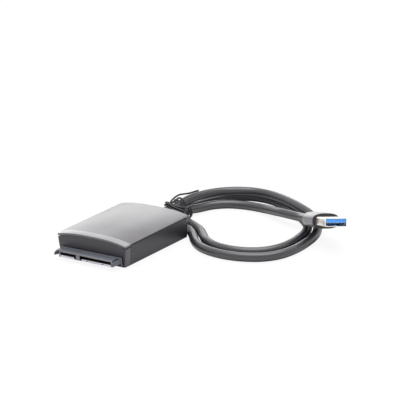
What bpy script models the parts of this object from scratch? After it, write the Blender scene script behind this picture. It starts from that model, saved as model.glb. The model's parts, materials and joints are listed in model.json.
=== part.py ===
# USB to SATA adapter: a small case with a 22-way SATA receptacle at the front, and a cable
# at the back that ends in a USB type A plug.
# Metres, +Z up. X runs across the case, Y from the SATA end to the cable end.
# The origin is under the middle of the case and receptacle, on the surface they stand on.

import bpy
import bmesh
import math
from mathutils import Matrix, Vector

# Case
CASE_LENGTH = 0.0534
CASE_WIDTH_TOP = 0.0455
SIDE_LEAN = 0.00125
CASE_EDGE_HEIGHT = 0.0117
SIDE_BULGE = 1.35
CROWN_HEIGHT = 0.00205
CROWN_POWER = 2.8
BOTTOM_EDGE_RADIUS = 0.0008
BACK_CORNER_RADIUS = 0.0018
FRONT_CORNER_RADIUS = 0.0007
BAND_DEPTH = 0.0042
BAND_TAPER = 0.0002
BAND_DROP = 0.0003
WALL = 0.0014
FLOOR_THICKNESS = 0.0012
LID_THICKNESS = 0.0012
LID_EDGE = 0.0003
LID_FRONT_LIP = 0.0010
LID_RIM_WALL = 0.0009
LID_RIM_DROP = 0.0020
REVEAL = 0.0004
CLEARANCE = 0.0003

# Feet
FOOT_HEIGHT = 0.0006
FOOT_RADIUS = 0.0034
FOOT_RECESS = 0.0005
FOOT_INSET_X = 0.0060
FOOT_INSET_Y = 0.0088

# SATA receptacle
CONTACT_PITCH = 0.00127
DATA_CONTACTS = 7
POWER_CONTACTS = 15
DATA_SLOT_WIDTH = 0.01041
POWER_SLOT_WIDTH = 0.02057
SLOT_DIVIDER = 0.00241
SLOT_HEIGHT = 0.00135
SLOT_TOP_ABOVE_BASE = 0.0040
KEY_WIDTH = 0.00135
KEY_DROP = 0.0022
SLOT_DEPTH = 0.0058
CONTACT_TRENCH_DEPTH = 0.0005
TRENCH_SETBACK = 0.0006
NOSE_OVERHANG = 0.0010
NOSE_REACH = 0.0054
NOSE_TOP_WALL = 0.0010
NOSE_HEIGHT = 0.0037
FLANGE_INSET = 0.0024
FLANGE_HEIGHT = 0.0047
FLANGE_DEPTH = 0.0010
FLANGE_ABOVE_BASE = 0.0006
HOUSING_SIDE_INSET = 0.0044
HOUSING_BACK_REACH = 0.0066
ARM_GAP = 0.0008
ARM_WIDTH = 0.0013
ARM_LEAD = 0.0024
ARM_HEIGHT = 0.0021
ARM_RISE = 0.0006
ARM_TAPER = 0.0026
ARM_TIP_HEIGHT = 0.0012
JAW_NOTCH = 0.0007
CONTACT_WIDTH = 0.00056
CONTACT_THICKNESS = 0.00020
CONTACT_TIP_RISE = 0.00030
CONTACT_TAIL = 0.0020
CONTACT_ROW_SHIFT = 0.0001

# Circuit board and what is on it
BOARD_THICKNESS = 0.0010
BOARD_SIDE_GAP = 0.0010
BOARD_BACK_GAP = 0.0085
BOARD_ABOVE_FLOOR = 0.0014
BOSS_RADIUS = 0.0020
BOARD_SCREW_RADIUS = 0.0009
BOARD_SCREW_HEAD_RADIUS = 0.0017
BOARD_SCREW_HEAD_HEIGHT = 0.0011
BOARD_SCREW_INSET = 0.0034
BOARD_SCREW_DEPTH = 0.0020
BRIDGE_CHIP_SIZE = 0.0075
BRIDGE_CHIP_HEIGHT = 0.0010
FLASH_CHIP_LENGTH = 0.0050
FLASH_CHIP_WIDTH = 0.0040
FLASH_CHIP_HEIGHT = 0.0015
CRYSTAL_LENGTH = 0.0050
CRYSTAL_WIDTH = 0.0032
CRYSTAL_HEIGHT = 0.0011
INDUCTOR_SIZE = 0.0050
INDUCTOR_HEIGHT = 0.0022
CAPACITOR_RADIUS = 0.0020
CAPACITOR_HEIGHT = 0.0052
LED_FROM_FRONT = 0.0132
LED_OFFSET_X = -0.0010
LED_LENGTH = 0.0020
LED_WIDTH = 0.0014
LED_HEIGHT = 0.0008
LIGHT_PIPE_RADIUS = 0.0007
LIGHT_PIPE_COLLAR_RADIUS = 0.0018
LIGHT_PIPE_COLLAR_HEIGHT = 0.0008

# Cable, its relief and its inner core
CABLE_DIAMETER = 0.0048
CABLE_AXIS_HEIGHT = 0.0076
RELIEF_LENGTH = 0.0130
RELIEF_ROOT_RADIUS = 0.0035
RELIEF_TIP_RADIUS = 0.0029
RELIEF_NECK_RADIUS = 0.0029
RELIEF_INNER_RADIUS = 0.0036
RELIEF_INNER_LENGTH = 0.0016
RELIEF_RIBS = 4
RELIEF_RIB_DEPTH = 0.0005
CORE_RADIUS = 0.0013
CORE_LENGTH = 0.0072

# USB plug
SHELL_WIDTH = 0.0120
SHELL_HEIGHT = 0.0045
SHELL_WALL = 0.0003
SHELL_REACH = 0.0120
SHELL_ROOT = 0.0060
SHELL_CORNER = 0.0006
LATCH_WINDOW = 0.0022
LATCH_SPACING = 0.0050
LATCH_FROM_TIP = 0.0062
GRIP_WIDTH = 0.0154
GRIP_HEIGHT = 0.0080
GRIP_LENGTH = 0.0230
GRIP_TAIL_RADIUS = 0.0031
TONGUE_THICKNESS = 0.00184
TONGUE_SETBACK = 0.0004
INSULATOR_BLOCK_LENGTH = 0.0088
PAD_WIDTH = 0.0010
PAD_LENGTH = 0.0052
PAD_THICKNESS = 0.00025
PAD_RECESS = 0.00045
PAD_SPACING_INNER = 0.0020
PAD_SPACING_OUTER = 0.0070
SPRING_WIDTH = 0.0006
SPRING_LENGTH = 0.0022
SPRING_PITCH = 0.0020
SPRING_COUNT = 5
PLUG_POINT = (0.0942, 0.0530, 0.0138)
PLUG_DIRECTION = (0.8387, -0.4956, 0.2242)
PLUG_ACROSS = (0.5352, 0.8277, -0.1698)

# Tie round the coil
TIE_DIAMETER = 0.0010
TIE_SLACK = 0.0002
TIE_CENTRE_Y = 0.0535
TIE_TURNS = 2
TIE_TURN_PITCH = 0.0022
TIE_REACH = 0.0140
TIE_TOP_STEPS = 3

# Faceting of round shapes
ROUND_STEPS = 28
SMALL_ROUND_STEPS = 18
CROWN_SEGMENTS = 22
CORNER_SEGMENTS = 4
CABLE_POINTS = 78

# Places worked out from the sizes
ARM_REACH = NOSE_REACH + ARM_LEAD
FRONT_Y = ARM_REACH - (CASE_LENGTH + ARM_REACH) / 2
CASE_WIDTH_BOTTOM = CASE_WIDTH_TOP - 2 * SIDE_LEAN
FLANGE_WIDTH = CASE_WIDTH_TOP - 2 * FLANGE_INSET
HOUSING_BACK_WIDTH = CASE_WIDTH_TOP - 2 * HOUSING_SIDE_INSET
BACK_Y = FRONT_Y + CASE_LENGTH
BAND_Y = FRONT_Y + BAND_DEPTH
BASE_Z = FOOT_HEIGHT
EDGE_Z = BASE_Z + CASE_EDGE_HEIGHT
FLOOR_Z = BASE_Z + FLOOR_THICKNESS
LID_SPLIT_Z = EDGE_Z - LID_EDGE
WALL_TOP_Z = LID_SPLIT_Z - REVEAL
SLOT_TOP_Z = BASE_Z + SLOT_TOP_ABOVE_BASE
SLOT_BOTTOM_Z = SLOT_TOP_Z - SLOT_HEIGHT
KEY_BOTTOM_Z = SLOT_TOP_Z - KEY_DROP
TRENCH_Z = SLOT_BOTTOM_Z - CONTACT_TRENCH_DEPTH
NOSE_TOP_Z = SLOT_TOP_Z + NOSE_TOP_WALL
NOSE_BOTTOM_Z = NOSE_TOP_Z - NOSE_HEIGHT
SLOTS_WIDTH = DATA_SLOT_WIDTH + SLOT_DIVIDER + POWER_SLOT_WIDTH
SLOTS_LEFT_X = -SLOTS_WIDTH / 2
NOSE_WIDTH = SLOTS_WIDTH + 2 * NOSE_OVERHANG
FLANGE_Z = BASE_Z + FLANGE_ABOVE_BASE
HOUSING_BACK_Y = FRONT_Y + HOUSING_BACK_REACH
BOARD_BOTTOM_Z = FLOOR_Z + BOARD_ABOVE_FLOOR
BOARD_TOP_Z = BOARD_BOTTOM_Z + BOARD_THICKNESS
BOARD_FRONT_Y = HOUSING_BACK_Y + 2 * CLEARANCE + CONTACT_THICKNESS
BOARD_BACK_Y = BACK_Y - BOARD_BACK_GAP
BOARD_HALF_X = CASE_WIDTH_BOTTOM / 2 - WALL - BOARD_SIDE_GAP
RELIEF_END_Y = BACK_Y + RELIEF_LENGTH
CABLE_RADIUS = CABLE_DIAMETER / 2

# The cable lies two turns round on the surface. Points along its centre line.
CABLE_ROUTE = [
    (0.0000, RELIEF_END_Y + CLEARANCE, CABLE_AXIS_HEIGHT),
    (-0.00045, 0.05207, 0.00805), (-0.00015, 0.06024, 0.00870), (0.00161, 0.06825, 0.00885),
    (0.00429, 0.07599, 0.00845), (0.00841, 0.08304, 0.00784), (0.01463, 0.08829, 0.00739),
    (0.02239, 0.09078, 0.00726), (0.03057, 0.09062, 0.00733), (0.03852, 0.08861, 0.00751),
    (0.04618, 0.08566, 0.00770), (0.05365, 0.08224, 0.00778), (0.06107, 0.07875, 0.00755),
    (0.06850, 0.07537, 0.00663), (0.07525, 0.07109, 0.00492), (0.08035, 0.06491, 0.00333),
    (0.08345, 0.05736, 0.00260), (0.08507, 0.04932, 0.00250), (0.08585, 0.04115, 0.00250),
    (0.08548, 0.03296, 0.00250), (0.08310, 0.02514, 0.00250), (0.07796, 0.01882, 0.00250),
    (0.07080, 0.01489, 0.00250), (0.06285, 0.01289, 0.00250), (0.05466, 0.01256, 0.00250),
    (0.04656, 0.01383, 0.00250), (0.03900, 0.01695, 0.00250), (0.03248, 0.02192, 0.00250),
    (0.02690, 0.02793, 0.00250), (0.02087, 0.03347, 0.00250), (0.01361, 0.03729, 0.00250),
    (0.00635, 0.04111, 0.00250), (-0.00016, 0.04605, 0.00299), (-0.00382, 0.05315, 0.00389),
    (-0.00328, 0.06127, 0.00331), (-0.00145, 0.06922, 0.00250), (0.00050, 0.07720, 0.00251),
    (0.00362, 0.08476, 0.00250), (0.00915, 0.09075, 0.00250), (0.01658, 0.09415, 0.00250),
    (0.02472, 0.09496, 0.00250), (0.03278, 0.09354, 0.00250), (0.04043, 0.09057, 0.00250),
    (0.04770, 0.08676, 0.00250), (0.05468, 0.08244, 0.00250), (0.06136, 0.07766, 0.00250),
    (0.06769, 0.07244, 0.00250), (0.07312, 0.06631, 0.00250), (0.07651, 0.05887, 0.00250),
    (0.07826, 0.05085, 0.00250), (0.07896, 0.04268, 0.00250), (0.07800, 0.03454, 0.00250),
    (0.07432, 0.02727, 0.00250), (0.06785, 0.02235, 0.00250), (0.05998, 0.02013, 0.00250),
    (0.05179, 0.02003, 0.00250), (0.04384, 0.02194, 0.00250), (0.03670, 0.02594, 0.00250),
    (0.03064, 0.03147, 0.00250), (0.02458, 0.03700, 0.00250), (0.01746, 0.04106, 0.00250),
    (0.01017, 0.04482, 0.00266), (0.00402, 0.05008, 0.00367), (0.00178, 0.05781, 0.00370),
    (0.00292, 0.06585, 0.00264), (0.00629, 0.07326, 0.00250), (0.01264, 0.07833, 0.00250),
    (0.02048, 0.08066, 0.00250), (0.02867, 0.08108, 0.00259), (0.03671, 0.07964, 0.00308),
    (0.04434, 0.07678, 0.00407), (0.05185, 0.07366, 0.00521), (0.05971, 0.07138, 0.00585),
]

# The tie's loose end arcs back over the wraps. Its folded slack lies over the relief.
TIE_LOOSE_END = [
    (0.0018, 0.0670, 0.0121), (0.0009, 0.0640, 0.0121), (0.0001, 0.0605, 0.0122),
    (-0.0005, 0.0560, 0.0130), (-0.0008, 0.0530, 0.0134), (-0.0008, 0.0500, 0.0132),
    (-0.0006, 0.0474, 0.0128), (-0.0004, 0.0458, 0.0124), (-0.0003, 0.0452, 0.0118),
    (-0.0004, 0.0460, 0.0113), (-0.0005, 0.0484, 0.0113),
]
TIE_FOLD = [
    (0.0064, 0.0530, 0.0084), (0.0086, 0.0480, 0.0096), (0.0098, 0.0446, 0.0105),
    (0.0092, 0.0420, 0.0112), (0.0062, 0.0414, 0.0115), (0.0027, 0.0414, 0.0124),
    (0.0008, 0.0414, 0.0129), (-0.0003, 0.0408, 0.0130), (0.0008, 0.0402, 0.0129),
    (0.0027, 0.0402, 0.0123), (0.0062, 0.0402, 0.0112), (0.0104, 0.0402, 0.0105),
    (0.0113, 0.0406, 0.0099), (0.0104, 0.0408, 0.0093), (0.0062, 0.0408, 0.0100),
    (0.0027, 0.0408, 0.0111), (0.0006, 0.0408, 0.0117), (-0.0006, 0.0402, 0.0118),
    (0.0006, 0.0396, 0.0117), (0.0027, 0.0396, 0.0111), (0.0062, 0.0396, 0.0100),
    (0.0102, 0.0396, 0.0093),
]


# Scene, collections and materials

def clear_scene():
    for item in list(bpy.data.objects):
        bpy.data.objects.remove(item, do_unlink=True)


def make_collection(name):
    collection = bpy.data.collections.new(name)
    bpy.context.scene.collection.children.link(collection)
    return collection


def make_material(name, color, roughness, metallic=0.0):
    material = bpy.data.materials.new(name)
    material.use_nodes = True
    shader = material.node_tree.nodes["Principled BSDF"]
    shader.inputs["Base Color"].default_value = (*color, 1.0)
    shader.inputs["Roughness"].default_value = roughness
    shader.inputs["Metallic"].default_value = metallic
    return material


clear_scene()
PARTS = make_collection("usb_to_sata_adapter")
CUTTERS = make_collection("cutters")


def add_object(name, mesh, collection=PARTS, smooth_angle=32.0):
    item = bpy.data.objects.new(name, mesh)
    collection.objects.link(item)
    mesh.shade_smooth()
    mesh.set_sharp_from_angle(angle=math.radians(smooth_angle))
    if collection is CUTTERS:
        item.hide_render = True
        item.display_type = "WIRE"
    return item


def finish_bmesh(name, bm, collection=PARTS):
    bmesh.ops.recalc_face_normals(bm, faces=bm.faces)
    mesh = bpy.data.meshes.new(name)
    bm.to_mesh(mesh)
    bm.free()
    return add_object(name, mesh, collection)


# Shapes

def box(name, low, high, collection=PARTS):
    bm = bmesh.new()
    bmesh.ops.create_cube(bm, size=1.0)
    size = Vector(high) - Vector(low)
    bmesh.ops.scale(bm, vec=size, verts=bm.verts)
    bmesh.ops.translate(bm, vec=(Vector(high) + Vector(low)) / 2, verts=bm.verts)
    return finish_bmesh(name, bm, collection)


def prism(name, outline, depth, collection=PARTS):
    """Closed solid from a flat outline of 3-D points, extruded along the vector depth."""
    bm = bmesh.new()
    face = bm.faces.new([bm.verts.new(point) for point in outline])
    grown = bmesh.ops.extrude_face_region(bm, geom=[face])
    moved = [part for part in grown["geom"] if isinstance(part, bmesh.types.BMVert)]
    bmesh.ops.translate(bm, vec=depth, verts=moved)
    return finish_bmesh(name, bm, collection)


def loft(name, rings, collection=PARTS):
    """Closed solid through rings that have the same number of points."""
    bm = bmesh.new()
    loops = [[bm.verts.new(point) for point in ring] for ring in rings]
    for lower, upper in zip(loops, loops[1:]):
        for index in range(len(lower)):
            after = (index + 1) % len(lower)
            bm.faces.new((lower[index], lower[after], upper[after], upper[index]))
    bm.faces.new(loops[0])
    bm.faces.new(loops[-1])
    return finish_bmesh(name, bm, collection)


def turned(name, profile, location, collection=PARTS, steps=ROUND_STEPS, along_y=False):
    """Solid of revolution from (radius, height) pairs that run from the top to the bottom."""
    mesh = bpy.data.meshes.new(name)
    points = [(radius, 0.0, height) for radius, height in profile]
    edges = [(index, index + 1) for index in range(len(points) - 1)]
    mesh.from_pydata(points, edges, [])
    item = add_object(name, mesh, collection)
    screw = item.modifiers.new("turn", "SCREW")
    screw.steps = steps
    screw.render_steps = steps
    screw.use_merge_vertices = True
    screw.merge_threshold = 0.00001
    screw.use_smooth_shade = True
    item.location = location
    if along_y:
        item.rotation_euler = (math.radians(-90.0), 0.0, 0.0)
    return item


def cylinder_cutter(name, radius, low, high, steps=SMALL_ROUND_STEPS):
    """Upright round cutter between two points on one vertical or lengthwise axis."""
    start = Vector(low)
    span = Vector(high) - start
    bm = bmesh.new()
    bmesh.ops.create_cone(
        bm, cap_ends=True, segments=steps, radius1=radius, radius2=radius, depth=span.length)
    turn = Vector((0.0, 0.0, 1.0)).rotation_difference(span.normalized()).to_matrix()
    bmesh.ops.rotate(bm, cent=(0.0, 0.0, 0.0), matrix=turn, verts=bm.verts)
    bmesh.ops.translate(bm, vec=start + span / 2, verts=bm.verts)
    return finish_bmesh(name, bm, CUTTERS)


def combine(item, other, operation):
    boolean = item.modifiers.new(other.name, "BOOLEAN")
    boolean.operation = operation
    boolean.solver = "EXACT"
    boolean.object = other


def cut(item, cutter):
    combine(item, cutter, "DIFFERENCE")


def join(item, other):
    combine(item, other, "UNION")


def keep_inside(item, other):
    combine(item, other, "INTERSECT")


def add_bevel(item, width, segments, angle=40.0):
    bevel = item.modifiers.new("edges", "BEVEL")
    bevel.width = width
    bevel.segments = segments
    bevel.limit_method = "ANGLE"
    bevel.angle_limit = math.radians(angle)
    bevel.use_clamp_overlap = True


def paint(item, material):
    item.data.materials.clear()
    item.data.materials.append(material)


def smooth_curve(points, steps=10):
    """Points on one smooth curve through the given points."""
    route = [Vector(point) for point in points]
    route = [2 * route[0] - route[1]] + route + [2 * route[-1] - route[-2]]
    result = []
    for before, start, end, after in zip(route, route[1:], route[2:], route[3:]):
        for step in range(steps):
            t = step / steps
            result.append(0.5 * (
                2 * start + (end - before) * t
                + (2 * before - 5 * start + 4 * end - after) * t ** 2
                + (3 * start - before - 3 * end + after) * t ** 3))
    result.append(route[-2])
    return result


def even_points(curve, count):
    """The same curve in steps of equal length."""
    lengths = [0.0]
    for start, end in zip(curve, curve[1:]):
        lengths.append(lengths[-1] + (end - start).length)
    result = []
    index = 0
    for number in range(count):
        wanted = lengths[-1] * number / (count - 1)
        while index < len(curve) - 2 and lengths[index + 1] < wanted:
            index += 1
        share = (wanted - lengths[index]) / (lengths[index + 1] - lengths[index])
        result.append(curve[index].lerp(curve[index + 1], share))
    return result


def round_wire(name, points, radius, resolution=2):
    curve = bpy.data.curves.new(name, "CURVE")
    curve.dimensions = "3D"
    curve.bevel_depth = radius
    curve.bevel_resolution = resolution
    curve.use_fill_caps = True
    curve.render_resolution_u = 0
    spline = curve.splines.new("POLY")
    spline.points.add(len(points) - 1)
    for slot, point in zip(spline.points, points):
        slot.co = (*point, 1.0)
    item = bpy.data.objects.new(name, curve)
    PARTS.objects.link(item)
    return item


# Case outlines

def side_half_width(z):
    """Half the case's width at a height: the sides lean in towards the bottom."""
    share = min(max((z - BASE_Z) / CASE_EDGE_HEIGHT, 0.0), 1.0)
    lean = (CASE_WIDTH_TOP - CASE_WIDTH_BOTTOM) / 2
    return CASE_WIDTH_TOP / 2 - lean * (1.0 - share) ** SIDE_BULGE


def bottom_inset(z):
    """How far the rounded lower edge pulls the outline in at a height."""
    rise = z - BASE_Z
    if rise >= BOTTOM_EDGE_RADIUS:
        return 0.0
    drop = BOTTOM_EDGE_RADIUS - rise
    return BOTTOM_EDGE_RADIUS - math.sqrt(BOTTOM_EDGE_RADIUS ** 2 - drop ** 2)


def arc(centre, radius, start, end, segments=CORNER_SEGMENTS):
    return [
        (centre[0] + radius * math.cos(math.radians(start + (end - start) * step / segments)),
         centre[1] + radius * math.sin(math.radians(start + (end - start) * step / segments)))
        for step in range(segments + 1)]


def plan_outline(half_x, inset, z):
    """The case seen from above: round back corners, a front band that tapers in."""
    side = half_x - inset
    nose_side = side - BAND_TAPER
    front = FRONT_Y + inset
    back = BACK_Y - inset
    back_radius = max(BACK_CORNER_RADIUS - inset, CLEARANCE)
    front_radius = max(FRONT_CORNER_RADIUS - inset, CLEARANCE)
    right = arc((nose_side - front_radius, front + front_radius), front_radius, -90.0, 0.0)
    right.append((side, BAND_Y))
    right += arc((side - back_radius, back - back_radius), back_radius, 0.0, 90.0)
    left = [(-x, y) for x, y in reversed(right)]
    return [(x, y, z) for x, y in right + left]


def case_prism(name, low, high, inset=0.0, collection=CUTTERS):
    """The case's plan outline between two heights, following the lean of its sides."""
    round_heights = [BASE_Z, BASE_Z + BOTTOM_EDGE_RADIUS * 0.3, BASE_Z + BOTTOM_EDGE_RADIUS]
    lean_heights = [BASE_Z + CASE_EDGE_HEIGHT * share for share in (0.25, 0.5, 0.75, 1.0)]
    inner = [z for z in round_heights + lean_heights if low < z < high]
    rings = []
    for z in [low] + inner + [high]:
        pull = inset + (bottom_inset(z) if inset == 0.0 else 0.0)
        rings.append(plan_outline(side_half_width(z), pull, z))
    return loft(name, rings, collection)


def crown_bar(name, lowered, collection=CUTTERS):
    """A bar as long as the case whose top is the crowned lid surface, lowered by an amount."""
    margin = 0.004
    half = CASE_WIDTH_TOP / 2
    rings = []
    for y in (FRONT_Y - margin, BAND_Y, BACK_Y + margin):
        drop = BAND_DROP * max(BAND_Y - y, 0.0) / BAND_DEPTH
        top = EDGE_Z + CROWN_HEIGHT - lowered - drop
        ring = []
        for step in range(CROWN_SEGMENTS + 1):
            share = math.sin(math.pi * (step / CROWN_SEGMENTS - 0.5))
            ring.append((half * share, y, top - CROWN_HEIGHT * abs(share) ** CROWN_POWER))
        shoulder = top - 2 * CROWN_HEIGHT
        ring = [(-half - margin, y, shoulder)] + ring + [(half + margin, y, shoulder)]
        ring += [(half + margin, y, BASE_Z - margin), (-half - margin, y, BASE_Z - margin)]
        rings.append(ring)
    return loft(name, rings, collection)


def crown_z(x):
    share = abs(x) / (CASE_WIDTH_TOP / 2)
    return EDGE_Z + CROWN_HEIGHT * (1.0 - share ** CROWN_POWER)


def foot_places():
    side = CASE_WIDTH_BOTTOM / 2 - FOOT_INSET_X
    return [
        (sign * side, y)
        for y in (FRONT_Y + FOOT_INSET_Y, BACK_Y - FOOT_INSET_Y)
        for sign in (-1, 1)]


def board_screw_places():
    side = BOARD_HALF_X - BOARD_SCREW_INSET
    return [(-side, BOARD_BACK_Y - BOARD_SCREW_INSET), (side, BOARD_BACK_Y - BOARD_SCREW_INSET)]


def board_rest_places():
    side = BOARD_HALF_X - BOSS_RADIUS
    return [(-side, BOARD_FRONT_Y + BOSS_RADIUS), (side, BOARD_FRONT_Y + BOSS_RADIUS)]


# Case pieces

def build_base_shell(material):
    """Open tray with leaning walls, board bosses, foot recesses and the cable hole."""
    shell = case_prism("base_shell", BASE_Z, WALL_TOP_Z, collection=PARTS)
    far = CASE_WIDTH_TOP
    cut(shell, box("base_front_cut", (-far, FRONT_Y - far, BASE_Z - far),
                   (far, BAND_Y + CLEARANCE, EDGE_Z + far), CUTTERS))
    cavity = case_prism("base_cavity", FLOOR_Z, EDGE_Z + CROWN_HEIGHT, inset=WALL)
    cut(shell, cavity)
    boss_top = BOARD_BOTTOM_Z - CLEARANCE
    for number, (x, y) in enumerate(board_screw_places() + board_rest_places()):
        boss = cylinder_cutter(f"boss_{number}", BOSS_RADIUS, (x, y, BASE_Z + FLOOR_THICKNESS / 2),
                               (x, y, boss_top))
        join(shell, boss)
    for number, (x, y) in enumerate(board_screw_places()):
        hole = cylinder_cutter(f"boss_hole_{number}", BOARD_SCREW_RADIUS + CLEARANCE,
                               (x, y, BOARD_TOP_Z - BOARD_THICKNESS - BOARD_SCREW_DEPTH),
                               (x, y, EDGE_Z))
        cut(shell, hole)
    for number, (x, y) in enumerate(foot_places()):
        recess = cylinder_cutter(f"foot_recess_{number}", FOOT_RADIUS + CLEARANCE,
                                 (x, y, BASE_Z - FOOT_HEIGHT), (x, y, BASE_Z + FOOT_RECESS))
        cut(shell, recess)
    cut(shell, cylinder_cutter(
        "cable_hole", RELIEF_NECK_RADIUS + CLEARANCE,
        (0.0, BACK_Y - 2 * WALL, CABLE_AXIS_HEIGHT), (0.0, BACK_Y + WALL, CABLE_AXIS_HEIGHT),
        ROUND_STEPS))
    paint(shell, material)
    return shell


def build_top_cover(material):
    """Crowned lid with a lip at the front, a locating rim and a hole for the light pipe."""
    cover = case_prism("top_cover", EDGE_Z - CASE_EDGE_HEIGHT / 2, EDGE_Z + 2 * CROWN_HEIGHT,
                       collection=PARTS)
    far = CASE_WIDTH_TOP
    keep_inside(cover, crown_bar("lid_surface", 0.0))
    side_cut = box("lid_side_cut", (-far, BAND_Y, BASE_Z), (far, BACK_Y + far, LID_SPLIT_Z), CUTTERS)
    rim_outer = case_prism("lid_rim_outer", LID_SPLIT_Z - LID_RIM_DROP, EDGE_Z,
                           inset=WALL + CLEARANCE)
    rim_front_cut = box("lid_rim_front_cut", (-far, FRONT_Y - far, BASE_Z),
                        (far, BAND_Y + WALL, EDGE_Z + far), CUTTERS)
    cut(rim_outer, rim_front_cut)
    notch = RELIEF_INNER_RADIUS + 2 * CLEARANCE
    cut(rim_outer, box("lid_rim_notch", (-notch, BACK_Y - 4 * WALL, BASE_Z),
                       (notch, BACK_Y + WALL, EDGE_Z + WALL), CUTTERS))
    cut(side_cut, rim_outer)
    cut(cover, side_cut)
    front_lip = crown_bar("lid_front_underside", LID_FRONT_LIP)
    cut(front_lip, box("lid_front_limit", (-far, BAND_Y + CLEARANCE / 10, BASE_Z - far),
                       (far, BACK_Y + far, EDGE_Z + far), CUTTERS))
    cut(cover, front_lip)
    hollow = case_prism("lid_hollow", BASE_Z, EDGE_Z + CROWN_HEIGHT,
                        inset=WALL + CLEARANCE + LID_RIM_WALL)
    keep_inside(hollow, crown_bar("lid_underside", LID_THICKNESS))
    cut(cover, hollow)
    pipe_x = LED_OFFSET_X
    pipe_y = FRONT_Y + LED_FROM_FRONT
    cut(cover, cylinder_cutter("light_pipe_hole", LIGHT_PIPE_RADIUS + CLEARANCE,
                               (pipe_x, pipe_y, BASE_Z), (pipe_x, pipe_y, EDGE_Z + far)))
    paint(cover, material)
    return cover


def build_front_bezel(material):
    """Front frame under the lid's lip, with the window that the receptacle comes through."""
    far = CASE_WIDTH_TOP
    bezel = case_prism("front_bezel", BASE_Z, EDGE_Z + CROWN_HEIGHT, collection=PARTS)
    cut(bezel, box("bezel_back_cut", (-far, BAND_Y, BASE_Z - far),
                   (far, BACK_Y + far, EDGE_Z + far), CUTTERS))
    keep_inside(bezel, crown_bar("bezel_top", LID_FRONT_LIP + CLEARANCE))
    hollow = case_prism("bezel_hollow", FLOOR_Z, EDGE_Z - WALL, inset=WALL)
    cut(hollow, box("bezel_front_keep", (-far, FRONT_Y - far, BASE_Z - far),
                    (far, FRONT_Y + WALL, EDGE_Z + far), CUTTERS))
    cut(bezel, hollow)
    half = HOUSING_BACK_WIDTH / 2 + CLEARANCE
    window = box("bezel_window", (-half, FRONT_Y - WALL, NOSE_BOTTOM_Z - CLEARANCE),
                 (half, BAND_Y + WALL, NOSE_TOP_Z + CLEARANCE), CUTTERS)
    cut(bezel, window)
    paint(bezel, material)
    return bezel


def build_feet(material):
    thickness = FOOT_HEIGHT + FOOT_RECESS - CLEARANCE
    edge = FOOT_HEIGHT / 3
    for number, (x, y) in enumerate(foot_places(), 1):
        profile = [(0.0, thickness), (FOOT_RADIUS, thickness), (FOOT_RADIUS, edge),
                   (FOOT_RADIUS - edge, 0.0), (0.0, 0.0)]
        foot = turned(f"rubber_foot_{number}", profile, (x, y, 0.0), steps=SMALL_ROUND_STEPS)
        paint(foot, material)


def build_light_pipe(material):
    x = LED_OFFSET_X
    top = crown_z(x)
    bottom = BOARD_TOP_Z + LED_HEIGHT + 2 * CLEARANCE
    collar_top = top - LID_THICKNESS - CLEARANCE
    collar_bottom = collar_top - LIGHT_PIPE_COLLAR_HEIGHT
    profile = [(0.0, top), (LIGHT_PIPE_RADIUS, top), (LIGHT_PIPE_RADIUS, collar_top),
               (LIGHT_PIPE_COLLAR_RADIUS, collar_top), (LIGHT_PIPE_COLLAR_RADIUS, collar_bottom),
               (LIGHT_PIPE_RADIUS, collar_bottom), (LIGHT_PIPE_RADIUS, bottom), (0.0, bottom)]
    pipe = turned("light_pipe", profile, (x, FRONT_Y + LED_FROM_FRONT, 0.0),
                  steps=SMALL_ROUND_STEPS)
    paint(pipe, material)


# SATA receptacle

def slot_ranges():
    """Left and right edge of each slot, with its contact count and the side of its key."""
    data_right = SLOTS_LEFT_X + DATA_SLOT_WIDTH
    power_left = data_right + SLOT_DIVIDER
    return [
        ("data", SLOTS_LEFT_X, data_right, DATA_CONTACTS, 1),
        ("power", power_left, power_left + POWER_SLOT_WIDTH, POWER_CONTACTS, -1)]


def contact_columns(left, right, count, key_side):
    middle = (left + right) / 2 - key_side * (KEY_WIDTH / 2 + CONTACT_ROW_SHIFT)
    return [middle + CONTACT_PITCH * (index - (count - 1) / 2) for index in range(count)]


def key_slot_outline(left, right, key_side):
    """L-shaped slot seen from the front: a flat gap with a leg down at one end."""
    front = FRONT_Y - NOSE_REACH - FLANGE_DEPTH
    points = [(left, SLOT_TOP_Z), (right, SLOT_TOP_Z)]
    if key_side > 0:
        points += [(right, KEY_BOTTOM_Z), (right - KEY_WIDTH, KEY_BOTTOM_Z),
                   (right - KEY_WIDTH, SLOT_BOTTOM_Z), (left, SLOT_BOTTOM_Z)]
    else:
        points += [(right, SLOT_BOTTOM_Z), (left + KEY_WIDTH, SLOT_BOTTOM_Z),
                   (left + KEY_WIDTH, KEY_BOTTOM_Z), (left, KEY_BOTTOM_Z)]
    return [(x, front, z) for x, z in points]


def arm_side_view():
    """Side view of a guide arm: level along its length and pointed at the front end."""
    root = FRONT_Y
    tip = FRONT_Y - NOSE_REACH - ARM_LEAD
    low = KEY_BOTTOM_Z + ARM_RISE
    high = low + ARM_HEIGHT
    middle = (low + high) / 2
    half_tip = ARM_TIP_HEIGHT / 2
    shoulder = tip + ARM_TAPER
    points = [(root, low - ARM_RISE), (shoulder, low - ARM_RISE), (shoulder, low),
              (tip, middle - half_tip), (tip, middle + half_tip), (shoulder, high),
              (shoulder, high + ARM_RISE), (root, high + ARM_RISE)]
    return [(-NOSE_WIDTH, y, z) for y, z in points]


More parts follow.
